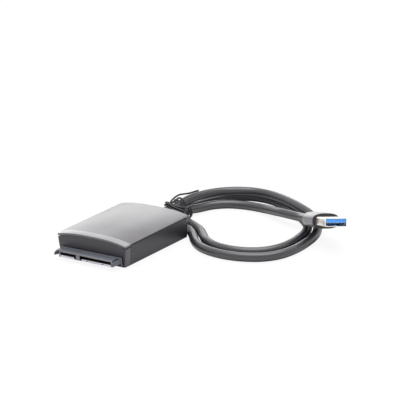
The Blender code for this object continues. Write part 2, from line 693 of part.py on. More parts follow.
def build_sata_housing(material):
    """Receptacle body: nose with two keyed slots, shoulder, guide arms and back block."""
    half_nose = NOSE_WIDTH / 2
    nose_front = FRONT_Y - NOSE_REACH
    flange_back = FRONT_Y - CLEARANCE
    flange_front = flange_back - FLANGE_DEPTH
    housing = box("sata_housing", (-half_nose, nose_front, NOSE_BOTTOM_Z),
                  (half_nose, FRONT_Y, NOSE_TOP_Z))
    half_flange = FLANGE_WIDTH / 2
    flange = box("sata_flange", (-half_flange, flange_front, FLANGE_Z),
                 (half_flange, flange_back, FLANGE_Z + FLANGE_HEIGHT), CUTTERS)
    add_bevel(flange, BOTTOM_EDGE_RADIUS / 2, 1)
    join(housing, flange)
    half_back = HOUSING_BACK_WIDTH / 2
    join(housing, box("sata_back_block", (-half_back, flange_front, FLOOR_Z + CLEARANCE),
                      (half_back, HOUSING_BACK_Y, NOSE_TOP_Z), CUTTERS))
    arm_low = KEY_BOTTOM_Z + ARM_RISE
    arm_root = flange_front + FLANGE_DEPTH / 2
    arm_tip = nose_front - ARM_LEAD
    for side in (-1, 1):
        inner = side * (half_nose + ARM_GAP)
        outer = side * (half_nose + ARM_GAP + ARM_WIDTH)
        tip = side * (half_nose + ARM_GAP + ARM_WIDTH / 4)
        outline = [(inner, arm_root, arm_low), (outer, arm_root, arm_low),
                   (outer, arm_tip + ARM_TAPER, arm_low), (tip, arm_tip, arm_low),
                   (inner, arm_tip, arm_low)]
        arm = prism(f"sata_arm_{side}", outline, (0.0, 0.0, ARM_HEIGHT), CUTTERS)
        keep_inside(arm, prism(f"arm_side_view_{side}", arm_side_view(), (NOSE_WIDTH * 2, 0.0, 0.0),
                               CUTTERS))
        join(housing, arm)
    for name, left, right, count, key_side in slot_ranges():
        depth = SLOT_DEPTH + FLANGE_DEPTH
        cut(housing, prism(f"{name}_slot", key_slot_outline(left, right, key_side),
                           (0.0, depth, 0.0), CUTTERS))
        columns = contact_columns(left, right, count, key_side)
        margin = CONTACT_WIDTH / 2 + CLEARANCE
        trench_left = left if key_side > 0 else columns[0] - margin
        trench_right = right if key_side < 0 else columns[-1] + margin
        trench_top = SLOT_BOTTOM_Z + CONTACT_TIP_RISE
        cut(housing, box(f"{name}_trench", (trench_left, nose_front + TRENCH_SETBACK, TRENCH_Z),
                         (trench_right, HOUSING_BACK_Y + WALL, trench_top), CUTTERS))
    power_left = slot_ranges()[1][1]
    for number, share in enumerate((0.25, 0.75)):
        x = power_left + POWER_SLOT_WIDTH * share
        cut(housing, box(f"jaw_notch_{number}", (x - JAW_NOTCH, nose_front - JAW_NOTCH, FLANGE_Z),
                         (x + JAW_NOTCH, nose_front + JAW_NOTCH, NOSE_BOTTOM_Z + JAW_NOTCH),
                         CUTTERS))
    paint(housing, material)
    return housing


def contact_profile():
    """Side view of one contact: sprung tip in the slot, riser, and tail on the board."""
    low = TRENCH_Z + CLEARANCE
    tip = FRONT_Y - NOSE_REACH + TRENCH_SETBACK + CLEARANCE
    crest = tip + 2 * CONTACT_PITCH
    settle = crest + CONTACT_PITCH
    riser = HOUSING_BACK_Y + CLEARANCE + CONTACT_THICKNESS
    seat = BOARD_TOP_Z + CLEARANCE
    tail = BOARD_FRONT_Y + CONTACT_TAIL
    thick = CONTACT_THICKNESS
    bump = low + CONTACT_TIP_RISE / 2
    under = [(tip, low), (crest, bump), (settle, low), (riser, low), (riser, seat), (tail, seat)]
    over = [(tail, seat + thick), (riser - thick, seat + thick), (riser - thick, low + thick),
            (settle, low + thick), (crest, bump + thick), (tip, low + thick)]
    return under + over


def build_sata_contacts(material):
    profile = contact_profile()
    for name, left, right, count, key_side in slot_ranges():
        for number, x in enumerate(contact_columns(left, right, count, key_side), 1):
            outline = [(x - CONTACT_WIDTH / 2, y, z) for y, z in profile]
            contact = prism(f"{name}_contact_{number}", outline, (CONTACT_WIDTH, 0.0, 0.0))
            paint(contact, material)


# Circuit board

def build_circuit_board(material):
    board = box("circuit_board", (-BOARD_HALF_X, BOARD_FRONT_Y, BOARD_BOTTOM_Z),
                (BOARD_HALF_X, BOARD_BACK_Y, BOARD_TOP_Z))
    for number, (x, y) in enumerate(board_screw_places()):
        cut(board, cylinder_cutter(f"board_hole_{number}", BOARD_SCREW_RADIUS + CLEARANCE,
                                   (x, y, BASE_Z), (x, y, EDGE_Z)))
    paint(board, material)


def build_chip(name, centre, length, width, height, material, edge=0.0002):
    bottom = BOARD_TOP_Z + CLEARANCE
    x, y = centre
    chip = box(name, (x - length / 2, y - width / 2, bottom),
               (x + length / 2, y + width / 2, bottom + height))
    add_bevel(chip, edge, 1)
    paint(chip, material)


def build_board_parts(materials):
    middle_y = (BOARD_FRONT_Y + BOARD_BACK_Y) / 2
    build_chip("bridge_chip", (0.0, middle_y), BRIDGE_CHIP_SIZE, BRIDGE_CHIP_SIZE,
               BRIDGE_CHIP_HEIGHT, materials["chip"])
    aside = BRIDGE_CHIP_SIZE / 2 + FLASH_CHIP_LENGTH
    build_chip("flash_chip", (aside, middle_y - FLASH_CHIP_WIDTH), FLASH_CHIP_LENGTH,
               FLASH_CHIP_WIDTH, FLASH_CHIP_HEIGHT, materials["chip"])
    build_chip("clock_crystal", (aside, middle_y + CRYSTAL_WIDTH), CRYSTAL_LENGTH,
               CRYSTAL_WIDTH, CRYSTAL_HEIGHT, materials["steel"], edge=0.0004)
    build_chip("power_inductor", (-aside, middle_y - INDUCTOR_SIZE), INDUCTOR_SIZE,
               INDUCTOR_SIZE, INDUCTOR_HEIGHT, materials["ferrite"], edge=0.0006)
    build_chip("status_led", (LED_OFFSET_X, FRONT_Y + LED_FROM_FRONT), LED_LENGTH, LED_WIDTH,
               LED_HEIGHT, materials["lens"])
    bottom = BOARD_TOP_Z + CLEARANCE
    edge = CAPACITOR_RADIUS / 8
    profile = [(0.0, CAPACITOR_HEIGHT), (CAPACITOR_RADIUS - edge, CAPACITOR_HEIGHT),
               (CAPACITOR_RADIUS, CAPACITOR_HEIGHT - edge), (CAPACITOR_RADIUS, 0.0), (0.0, 0.0)]
    for number in (1, 2):
        y = middle_y + CAPACITOR_RADIUS + (number - 1) * 2.6 * CAPACITOR_RADIUS
        capacitor = turned(f"capacitor_{number}", profile, (-aside, y, bottom),
                           steps=SMALL_ROUND_STEPS)
        paint(capacitor, materials["steel"])


def build_board_screws(material):
    head = BOARD_TOP_Z + CLEARANCE
    tip = BOARD_BOTTOM_Z - BOARD_SCREW_DEPTH + CLEARANCE
    top = head + BOARD_SCREW_HEAD_HEIGHT
    profile = [(0.0, top), (BOARD_SCREW_HEAD_RADIUS * 0.8, top),
               (BOARD_SCREW_HEAD_RADIUS, head + BOARD_SCREW_HEAD_HEIGHT / 2),
               (BOARD_SCREW_HEAD_RADIUS, head), (BOARD_SCREW_RADIUS, head),
               (BOARD_SCREW_RADIUS, tip + BOARD_SCREW_RADIUS), (BOARD_SCREW_RADIUS / 2, tip),
               (0.0, tip)]
    for number, (x, y) in enumerate(board_screw_places(), 1):
        screw = turned(f"board_screw_{number}", profile, (x, y, 0.0), steps=SMALL_ROUND_STEPS)
        paint(screw, material)


# Cable

def build_strain_relief(material):
    """Ribbed boot outside the back wall, a neck through it and a flange inside."""
    neck_end = -WALL - CLEARANCE
    profile = [(0.0, RELIEF_LENGTH), (RELIEF_TIP_RADIUS - RELIEF_RIB_DEPTH / 2, RELIEF_LENGTH),
               (RELIEF_TIP_RADIUS, RELIEF_LENGTH - RELIEF_RIB_DEPTH)]
    ribbed = RELIEF_LENGTH - 2 * RELIEF_RIB_DEPTH
    pitch = ribbed / (RELIEF_RIBS + 1)
    for rib in range(1, RELIEF_RIBS + 1):
        height = RELIEF_LENGTH - rib * pitch
        share = height / RELIEF_LENGTH
        radius = RELIEF_ROOT_RADIUS + (RELIEF_TIP_RADIUS - RELIEF_ROOT_RADIUS) * share
        half = pitch / 5
        profile += [(radius, height + half), (radius - RELIEF_RIB_DEPTH, height + half / 2),
                    (radius - RELIEF_RIB_DEPTH, height - half / 2), (radius, height - half)]
    profile += [(RELIEF_ROOT_RADIUS, CLEARANCE), (RELIEF_NECK_RADIUS, CLEARANCE),
                (RELIEF_NECK_RADIUS, neck_end), (RELIEF_INNER_RADIUS, neck_end),
                (RELIEF_INNER_RADIUS, neck_end - RELIEF_INNER_LENGTH),
                (0.0, neck_end - RELIEF_INNER_LENGTH)]
    relief = turned("strain_relief", profile, (0.0, BACK_Y, CABLE_AXIS_HEIGHT), along_y=True)
    paint(relief, material)


def build_cable_core(material):
    """The cable's inner wires, from the relief's flange down to the back of the board."""
    start_y = BACK_Y - WALL - CLEARANCE - RELIEF_INNER_LENGTH - CLEARANCE
    landing = BOARD_TOP_Z + CLEARANCE + CORE_RADIUS
    route = [(0.0, start_y, CABLE_AXIS_HEIGHT), (0.0, start_y - CORE_LENGTH * 0.25, CABLE_AXIS_HEIGHT),
             (0.0, start_y - CORE_LENGTH * 0.75, landing), (0.0, start_y - CORE_LENGTH, landing)]
    core = round_wire("cable_core", even_points(smooth_curve(route), 9), CORE_RADIUS)
    core.data.materials.append(material)


def cable_line():
    end = -GRIP_LENGTH - CLEARANCE
    tail = [plug_matrix() @ Vector((0.0, 0.0, end - back)) for back in (CABLE_DIAMETER * 1.8, 0.0)]
    return even_points(smooth_curve(CABLE_ROUTE + tail), CABLE_POINTS)


def build_cable(material):
    cable = round_wire("usb_cable", cable_line(), CABLE_RADIUS, resolution=3)
    cable.data.materials.append(material)


# USB plug, built along its own +Z with the wide side along X, then turned into place

def plug_matrix():
    forward = Vector(PLUG_DIRECTION).normalized()
    upward = forward.cross(Vector(PLUG_ACROSS)).normalized()
    across = upward.cross(forward)
    turn = Matrix((across, upward, forward)).transposed().to_4x4()
    return Matrix.Translation(PLUG_POINT) @ turn


def place_on_plug(item):
    item.matrix_world = plug_matrix()


def oval_ring(half_width, half_height, power, z, steps=ROUND_STEPS):
    ring = []
    for step in range(steps):
        angle = 2 * math.pi * step / steps
        c = math.cos(angle)
        s = math.sin(angle)
        ring.append((half_width * math.copysign(abs(c) ** (2 / power), c),
                     half_height * math.copysign(abs(s) ** (2 / power), s), z))
    return ring


def build_plug_grip(material):
    """Moulded grip: an oval front face that narrows to the round cable behind it."""
    half_width = GRIP_WIDTH / 2
    half_height = GRIP_HEIGHT / 2
    stations = [(0.0, 0.93, 0.90), (-0.025, 1.0, 1.0), (-0.12, 1.0, 1.0), (-0.45, 0.96, 0.97),
                (-0.62, 0.86, 0.90), (-0.75, 0.62, 0.74), (-0.86, 0.34, 0.42),
                (-1.0, 0.0, 0.0)]
    rings = []
    for place, wide, tall in stations:
        a = GRIP_TAIL_RADIUS + (half_width - GRIP_TAIL_RADIUS) * wide
        b = GRIP_TAIL_RADIUS + (half_height - GRIP_TAIL_RADIUS) * tall
        power = 2.0 + 0.7 * min(wide, 1.0)
        rings.append(oval_ring(a, b, power, place * GRIP_LENGTH))
    grip = loft("plug_grip", rings)
    grip.matrix_world = plug_matrix()
    half_x = SHELL_WIDTH / 2 + CLEARANCE
    half_y = SHELL_HEIGHT / 2 + CLEARANCE
    pocket = box("grip_pocket", (-half_x, -half_y, -SHELL_ROOT - CLEARANCE),
                 (half_x, half_y, SHELL_ROOT), CUTTERS)
    pocket.matrix_world = plug_matrix()
    cut(grip, pocket)
    paint(grip, material)


def rounded_box_outline(half_x, half_y, radius, z):
    outline = []
    for cx, cy, start in ((1, -1, -90.0), (1, 1, 0.0), (-1, 1, 90.0), (-1, -1, 180.0)):
        centre = (cx * (half_x - radius), cy * (half_y - radius))
        outline += [(x, y, z) for x, y in arc(centre, radius, start, start + 90.0, 3)]
    return outline


def build_plug_shell(material):
    """Folded steel shell, open at the front, with two latch windows in each wide face."""
    half_x = SHELL_WIDTH / 2
    half_y = SHELL_HEIGHT / 2
    length = SHELL_REACH + SHELL_ROOT
    shell = prism("plug_shell", rounded_box_outline(half_x, half_y, SHELL_CORNER, -SHELL_ROOT),
                  (0.0, 0.0, length))
    shell.matrix_world = plug_matrix()
    inner_radius = SHELL_CORNER - SHELL_WALL
    bore = prism("shell_bore", rounded_box_outline(half_x - SHELL_WALL, half_y - SHELL_WALL,
                                                   inner_radius, -SHELL_ROOT - SHELL_WALL),
                 (0.0, 0.0, length + 2 * SHELL_WALL), CUTTERS)
    bore.matrix_world = plug_matrix()
    cut(shell, bore)
    top = SHELL_REACH - LATCH_FROM_TIP
    half_window = LATCH_WINDOW / 2
    for side in (-1, 1):
        x = side * LATCH_SPACING / 2
        window = box(f"latch_window_{side}", (x - half_window, -SHELL_HEIGHT, top - half_window),
                     (x + half_window, SHELL_HEIGHT, top + half_window), CUTTERS)
        window.matrix_world = plug_matrix()
        cut(shell, window)
    paint(shell, material)


def pad_places():
    return [sign * spacing / 2 for spacing in (PAD_SPACING_OUTER, PAD_SPACING_INNER)
            for sign in (-1, 1)]


def build_plug_insulator(material):
    """Blue block at the back of the shell with a tongue along its upper half."""
    half_x = SHELL_WIDTH / 2 - SHELL_WALL - CLEARANCE
    half_y = SHELL_HEIGHT / 2 - SHELL_WALL - CLEARANCE
    tip = SHELL_REACH - TONGUE_SETBACK
    block_top = -SHELL_ROOT + INSULATOR_BLOCK_LENGTH
    tongue_low = half_y - TONGUE_THICKNESS
    outline = [(-half_x, -half_y, -SHELL_ROOT), (-half_x, half_y, -SHELL_ROOT),
               (-half_x, half_y, tip), (-half_x, tongue_low, tip),
               (-half_x, tongue_low, block_top), (-half_x, -half_y, block_top)]
    insulator = prism("plug_insulator", outline, (2 * half_x, 0.0, 0.0))
    insulator.matrix_world = plug_matrix()
    for number, x in enumerate(pad_places()):
        half = PAD_WIDTH / 2 + CLEARANCE
        groove = box(f"pad_groove_{number}",
                     (x - half, tongue_low - PAD_RECESS, tip - TONGUE_SETBACK - PAD_LENGTH),
                     (x + half, tongue_low + PAD_RECESS, tip - TONGUE_SETBACK), CUTTERS)
        groove.matrix_world = plug_matrix()
        cut(insulator, groove)
    paint(insulator, material)


def build_plug_contacts(material):
    half_y = SHELL_HEIGHT / 2 - SHELL_WALL - CLEARANCE
    tongue_low = half_y - TONGUE_THICKNESS
    tip = SHELL_REACH - TONGUE_SETBACK
    pad_end = tip - TONGUE_SETBACK - CLEARANCE
    pad_top = tongue_low + PAD_RECESS - CLEARANCE
    for number, x in enumerate(sorted(pad_places()), 1):
        pad = box(f"plug_pad_{number}",
                  (x - PAD_WIDTH / 2, pad_top - PAD_THICKNESS, pad_end - PAD_LENGTH + 2 * CLEARANCE),
                  (x + PAD_WIDTH / 2, pad_top, pad_end))
        place_on_plug(pad)
        paint(pad, material)
    block_top = -SHELL_ROOT + INSULATOR_BLOCK_LENGTH
    low = block_top + CLEARANCE
    high = min(low + SPRING_LENGTH, pad_end - PAD_LENGTH)
    for number in range(SPRING_COUNT):
        x = SPRING_PITCH * (number - (SPRING_COUNT - 1) / 2)
        top = tongue_low - CLEARANCE
        outline = [(x - SPRING_WIDTH / 2, top, low), (x - SPRING_WIDTH / 2, top, high),
                   (x - SPRING_WIDTH / 2, top - PAD_THICKNESS, high),
                   (x - SPRING_WIDTH / 2, top - 3 * PAD_THICKNESS, (low + high) / 2),
                   (x - SPRING_WIDTH / 2, top - PAD_THICKNESS, low)]
        spring = prism(f"plug_spring_{number + 1}", outline, (SPRING_WIDTH, 0.0, 0.0))
        place_on_plug(spring)
        paint(spring, material)


# Twist tie

def strands_at(y):
    """Where the three strands of the bundle stand at one place along it: top, left and right."""
    found = []
    line = cable_line()
    for start, end in zip(line, line[1:]):
        if (start.y - y) * (end.y - y) <= 0.0 and start.x < TIE_REACH and start.y != end.y:
            place = start.lerp(end, (y - start.y) / (end.y - start.y))
            found.append((place.x, place.z))
    found.sort(key=lambda place: place[1])
    left, right = sorted(found[:2])
    return found[-1], left, right


def tie_turn(y):
    """One turn of wire round the three strands, seen along Y, from the top to the left."""
    reach = CABLE_RADIUS + CLEARANCE + TIE_DIAMETER / 2 + TIE_SLACK
    top, left, right = strands_at(y)
    right_top = math.degrees(math.atan2(right[0] - top[0], top[1] - right[1]))
    left_top = math.degrees(math.atan2(top[0] - left[0], left[1] - top[1]))
    turn = arc(top, reach, 90.0, left_top, TIE_TOP_STEPS)
    turn += arc(left, reach, left_top, 270.0, 5) + arc(right, reach, -90.0, right_top, 5)
    return turn + arc(top, reach, right_top, 90.0, TIE_TOP_STEPS)[:-1]


def tie_wraps():
    points = []
    per_turn = len(tie_turn(TIE_CENTRE_Y))
    count = per_turn * TIE_TURNS
    for step in range(count - TIE_TOP_STEPS):
        y = TIE_CENTRE_Y + TIE_TURN_PITCH * (step / count - 0.5) * TIE_TURNS
        x, z = tie_turn(y)[step % per_turn]
        points.append(Vector((x, y, z)))
    return points


def build_twist_tie(material):
    points = tie_wraps()
    loose = smooth_curve(TIE_LOOSE_END + [tuple(points[0])], 4)
    fold = smooth_curve([tuple(points[-1])] + TIE_FOLD, 4)
    line = loose[:-1] + points + fold[1:]
    tie = round_wire("twist_tie", line, TIE_DIAMETER / 2)
    tie.data.materials.append(material)


# Build

def build():
    case_grey = make_material("case_grey", (0.085, 0.085, 0.095), 0.42)
    lid_grey = make_material("lid_grey", (0.10, 0.10, 0.11), 0.36)
    connector_grey = make_material("connector_grey", (0.13, 0.14, 0.16), 0.45)
    cable_black = make_material("cable_black", (0.045, 0.045, 0.05), 0.38)
    grip_grey = make_material("grip_grey", (0.16, 0.16, 0.17), 0.40)
    plug_blue = make_material("plug_blue", (0.05, 0.27, 0.75), 0.35)
    steel = make_material("steel", (0.80, 0.79, 0.76), 0.22, 1.0)
    gold = make_material("gold", (0.95, 0.72, 0.35), 0.25, 1.0)
    rubber = make_material("rubber", (0.03, 0.03, 0.03), 0.80)
    board_green = make_material("board_green", (0.02, 0.16, 0.07), 0.45)
    chip = make_material("chip", (0.02, 0.02, 0.022), 0.50)
    ferrite = make_material("ferrite", (0.05, 0.05, 0.055), 0.60)
    lens = make_material("lens", (0.75, 0.78, 0.80), 0.20)
    tie_black = make_material("tie_black", (0.02, 0.02, 0.022), 0.45)
    build_base_shell(case_grey)
    build_top_cover(lid_grey)
    build_front_bezel(case_grey)
    build_feet(rubber)
    build_light_pipe(lens)
    build_sata_housing(connector_grey)
    build_sata_contacts(gold)
    build_circuit_board(board_green)
    build_board_parts({"chip": chip, "steel": steel, "ferrite": ferrite, "lens": lens})
    build_board_screws(steel)
    build_strain_relief(cable_black)
    build_cable_core(cable_black)
    build_cable(cable_black)
    build_plug_grip(grip_grey)
    build_plug_shell(steel)
    build_plug_insulator(plug_blue)
    build_plug_contacts(gold)
    build_twist_tie(tie_black)


build()
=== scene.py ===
# Looks of the USB to SATA adapter: finishes, the cable at its full length, and the visible
# pieces with their rounded edges. Metres, in the CAD model's frame.

import json
import math

import bmesh
import bpy
from mathutils import Matrix, Vector


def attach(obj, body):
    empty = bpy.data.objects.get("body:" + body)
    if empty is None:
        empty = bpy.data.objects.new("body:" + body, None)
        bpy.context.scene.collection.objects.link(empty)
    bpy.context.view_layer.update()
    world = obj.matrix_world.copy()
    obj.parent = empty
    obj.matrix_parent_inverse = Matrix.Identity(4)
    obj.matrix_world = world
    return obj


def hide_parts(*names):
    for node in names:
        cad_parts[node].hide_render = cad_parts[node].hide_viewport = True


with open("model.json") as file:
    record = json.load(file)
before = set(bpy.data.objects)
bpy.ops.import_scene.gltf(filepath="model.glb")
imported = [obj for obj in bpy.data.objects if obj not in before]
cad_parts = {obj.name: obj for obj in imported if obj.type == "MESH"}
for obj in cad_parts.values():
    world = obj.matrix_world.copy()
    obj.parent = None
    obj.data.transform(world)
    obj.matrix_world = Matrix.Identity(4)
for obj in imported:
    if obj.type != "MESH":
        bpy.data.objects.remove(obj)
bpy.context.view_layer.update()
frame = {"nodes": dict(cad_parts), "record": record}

NODES = frame["nodes"]

# Camera, measured from the photograph
CAMERA_PLACE = (0.73696, -0.87989, 0.40843)
CAMERA_RIGHT = (0.80065, 0.59628, -0.05838)
CAMERA_UP = (-0.14576, 0.28837, 0.94636)
CAMERA_BACK = (0.58113, -0.74919, 0.31780)
CAMERA_LENS = 210.45

# Case, in the CAD model's sizes
CASE_LENGTH = 0.0534
WIDTH_TOP = 0.0455
EDGE_HEIGHT = 0.0117
SIDE_LEAN = 0.00125
SIDE_BULGE = 1.35
CROWN_HEIGHT = 0.00205
CROWN_POWER = 2.8
CROWN_COLUMNS = 34
BAND_DEPTH = 0.0042
BAND_TAPER = 0.0002
BAND_DROP = 0.0003
BACK_CORNER = 0.0018
FRONT_CORNER = 0.0007
WALL = 0.0014
FLOOR_THICKNESS = 0.0012
LID_THICKNESS = 0.0012
LID_EDGE = 0.0003
LID_RIM_WALL = 0.0009
REVEAL = 0.0004
LIP_THICKNESS = 0.0010
LIP_SEAM = 0.00008
LIP_SIDE_DROP = 0.0005
LED_X = -0.0010
LED_FROM_FRONT = 0.0132
LED_RADIUS = 0.0007
LED_SURROUND = 0.0012
LID_ROUNDING = 0.00022
BASE_ROUNDING = 0.0004
FRAME_ROUNDING = 0.00016

# Feet
FOOT_HEIGHT = 0.0006
FOOT_THICKNESS = 0.0008
FOOT_RADIUS = 0.0034
FOOT_RECESS = 0.0005
FOOT_RECESS_RADIUS = 0.0035
FOOT_INSET_X = 0.0060
FOOT_INSET_Y = 0.0088
FOOT_RIM = 0.0007
FOOT_STEP = 0.0004
FOOT_DISH = 0.0001
FOOT_ROUNDING = 0.00015

# Receptacle, with its slots at their standard sizes
DATA_SLOT_WIDTH = 0.01041
POWER_SLOT_WIDTH = 0.02057
SLOT_DIVIDER = 0.00241
SLOT_HEIGHT = 0.00135
SLOT_TOP_ABOVE_BASE = 0.0040
KEY_WIDTH = 0.00135
KEY_DROP = 0.0022
NOSE_OVERHANG = 0.0010
NOSE_REACH = 0.0054
NOSE_TOP_WALL = 0.0010
NOSE_HEIGHT = 0.0037
ARM_LEAD = 0.0024
HOUSING_BACK_WIDTH = 0.0367
LEAD_IN = 0.00030
NOSE_ROUNDING = 0.00013
SHORTEST_ROUNDED = 0.0003
# How far behind the case's front the dark inside of the slots reaches; it is partly painted shade
SLOT_SHADE_PAST_FRONT = 0.002

# Cable and its relief
CABLE_DIAMETER = 0.0048
CABLE_STEPS = 420
CABLE_Z = 0.0076
RELIEF_LENGTH = 0.0130
RELIEF_NECK = 0.0029

# Plug
PLUG_POINT = Vector((0.0942, 0.0530, 0.0138))
PLUG_DIRECTION = Vector((0.8387, -0.4956, 0.2242)).normalized()
PLUG_ACROSS = Vector((0.5352, 0.8277, -0.1698))
GRIP_LENGTH = 0.0230
GRIP_WIDTH = 0.0154
GRIP_HEIGHT = 0.0080
GRIP_TAIL = 0.0031
GRIP_RIM = 0.0006
GRIP_DISH = 0.0003
# How deep from its front the grip's painted shade reaches
GRIP_FACE_SHADE_DEPTH = 0.0005
GRIP_ROWS = 60
MOULD_LINE = 0.030
MOULD_LINE_WIDTH = 0.035
SHELL_WIDTH = 0.0120
SHELL_HEIGHT = 0.0045
SHELL_WALL = 0.0003
SHELL_ROOT = 0.0060
SHELL_ROUNDING = 0.00006
POCKET_ROOM = 0.0004
TONGUE_THICKNESS = 0.00184
TONGUE_TIP = 0.0116
TONGUE_BLOCK = 0.0028
TONGUE_ROUNDING = 0.00008
PAD_PLACES = (-0.0035, -0.0010, 0.0010, 0.0035)
PAD_LENGTH = 0.0052
PAD_GROOVE_WIDTH = 0.0016
PAD_GROOVE_DEPTH = 0.00045
PAD_SETBACK = 0.0004

# The grip's widths and heights along its length, as shares between its tail and its full size
GRIP_STATIONS = [(0.0, 0.93, 0.90), (0.025, 1.0, 1.0), (0.12, 1.0, 1.0), (0.45, 0.96, 0.97),
                 (0.62, 0.86, 0.90), (0.75, 0.62, 0.74), (0.86, 0.34, 0.42), (1.0, 0.0, 0.0)]

# Clearances: between moulded pieces, between a piece and its hole, and a hair that counts as
# none. Cutters reach past what they cut.
GAP = 0.0003
FIT = 0.00005
HAIR = 0.00001
CUT_PAST = 0.002
WELD = 0.000002
SLICE_MERGE = 0.0000005

# Places worked out from the sizes
FRONT_Y = (NOSE_REACH + ARM_LEAD - CASE_LENGTH) / 2
BACK_Y = FRONT_Y + CASE_LENGTH
BAND_Y = FRONT_Y + BAND_DEPTH
LED_PLACE = (LED_X, FRONT_Y + LED_FROM_FRONT)
RELIEF_END_Y = BACK_Y + RELIEF_LENGTH
HALF_WIDTH = WIDTH_TOP / 2
BASE_Z = FOOT_HEIGHT
EDGE_Z = BASE_Z + EDGE_HEIGHT
SPLIT_Z = EDGE_Z - LID_EDGE
WALL_TOP_Z = SPLIT_Z - REVEAL
FRAME_TOP_Z = SPLIT_Z - LIP_THICKNESS
SLOT_TOP = BASE_Z + SLOT_TOP_ABOVE_BASE
SLOT_FLOOR = SLOT_TOP - SLOT_HEIGHT
KEY_FLOOR = SLOT_TOP - KEY_DROP
NOSE_FRONT = FRONT_Y - NOSE_REACH
NOSE_TOP = SLOT_TOP + NOSE_TOP_WALL
NOSE_BOTTOM = NOSE_TOP - NOSE_HEIGHT
SLOTS_HALF = (DATA_SLOT_WIDTH + SLOT_DIVIDER + POWER_SLOT_WIDTH) / 2
NOSE_HALF = SLOTS_HALF + NOSE_OVERHANG
WINDOW_HALF = HOUSING_BACK_WIDTH / 2 + FIT

# The stretches of the slots without their keys
DATA_SLOT_END = DATA_SLOT_WIDTH - SLOTS_HALF
POWER_SLOT_START = DATA_SLOT_END + SLOT_DIVIDER
SLOT_FLATS = [(-SLOTS_HALF, DATA_SLOT_END - KEY_WIDTH),
              (POWER_SLOT_START + KEY_WIDTH, SLOTS_HALF)]

# The cable lies two turns round on the surface. Points along its centre line.
CABLE_ROUTE = [
    (0.0000, RELIEF_END_Y + GAP, CABLE_Z),
    (-0.00045, 0.05207, 0.00805), (-0.00015, 0.06024, 0.00870), (0.00161, 0.06825, 0.00885),
    (0.00429, 0.07599, 0.00845), (0.00841, 0.08304, 0.00784), (0.01463, 0.08829, 0.00739),
    (0.02239, 0.09078, 0.00726), (0.03057, 0.09062, 0.00733), (0.03852, 0.08861, 0.00751),
    (0.04618, 0.08566, 0.00770), (0.05365, 0.08224, 0.00778), (0.06107, 0.07875, 0.00755),
    (0.06850, 0.07537, 0.00663), (0.07525, 0.07109, 0.00492), (0.08035, 0.06491, 0.00333),
    (0.08345, 0.05736, 0.00260), (0.08507, 0.04932, 0.00250), (0.08585, 0.04115, 0.00250),
    (0.08548, 0.03296, 0.00250), (0.08310, 0.02514, 0.00250), (0.07796, 0.01882, 0.00250),
    (0.07080, 0.01489, 0.00250), (0.06285, 0.01289, 0.00250), (0.05466, 0.01256, 0.00250),
    (0.04656, 0.01383, 0.00250), (0.03900, 0.01695, 0.00250), (0.03248, 0.02192, 0.00250),
    (0.02690, 0.02793, 0.00250), (0.02087, 0.03347, 0.00250), (0.01361, 0.03729, 0.00250),
    (0.00635, 0.04111, 0.00250), (-0.00016, 0.04605, 0.00299), (-0.00382, 0.05315, 0.00389),
    (-0.00328, 0.06127, 0.00331), (-0.00145, 0.06922, 0.00250), (0.00050, 0.07720, 0.00251),
    (0.00362, 0.08476, 0.00250), (0.00915, 0.09075, 0.00250), (0.01658, 0.09415, 0.00250),
    (0.02472, 0.09496, 0.00250), (0.03278, 0.09354, 0.00250), (0.04043, 0.09057, 0.00250),
    (0.04770, 0.08676, 0.00250), (0.05468, 0.08244, 0.00250), (0.06136, 0.07766, 0.00250),
    (0.06769, 0.07244, 0.00250), (0.07312, 0.06631, 0.00250), (0.07651, 0.05887, 0.00250),
    (0.07826, 0.05085, 0.00250), (0.07896, 0.04268, 0.00250), (0.07800, 0.03454, 0.00250),
    (0.07432, 0.02727, 0.00250), (0.06785, 0.02235, 0.00250), (0.05998, 0.02013, 0.00250),
    (0.05179, 0.02003, 0.00250), (0.04384, 0.02194, 0.00250), (0.03670, 0.02594, 0.00250),
    (0.03064, 0.03147, 0.00250), (0.02458, 0.03700, 0.00250), (0.01746, 0.04106, 0.00250),
    (0.01017, 0.04482, 0.00266), (0.00402, 0.05008, 0.00367), (0.00178, 0.05781, 0.00370),
    (0.00292, 0.06585, 0.00264), (0.00629, 0.07326, 0.00250), (0.01264, 0.07833, 0.00250),
    (0.02048, 0.08066, 0.00250), (0.02867, 0.08108, 0.00259), (0.03671, 0.07964, 0.00308),
    (0.04434, 0.07678, 0.00407), (0.05185, 0.07366, 0.00521), (0.05971, 0.07138, 0.00585),
]

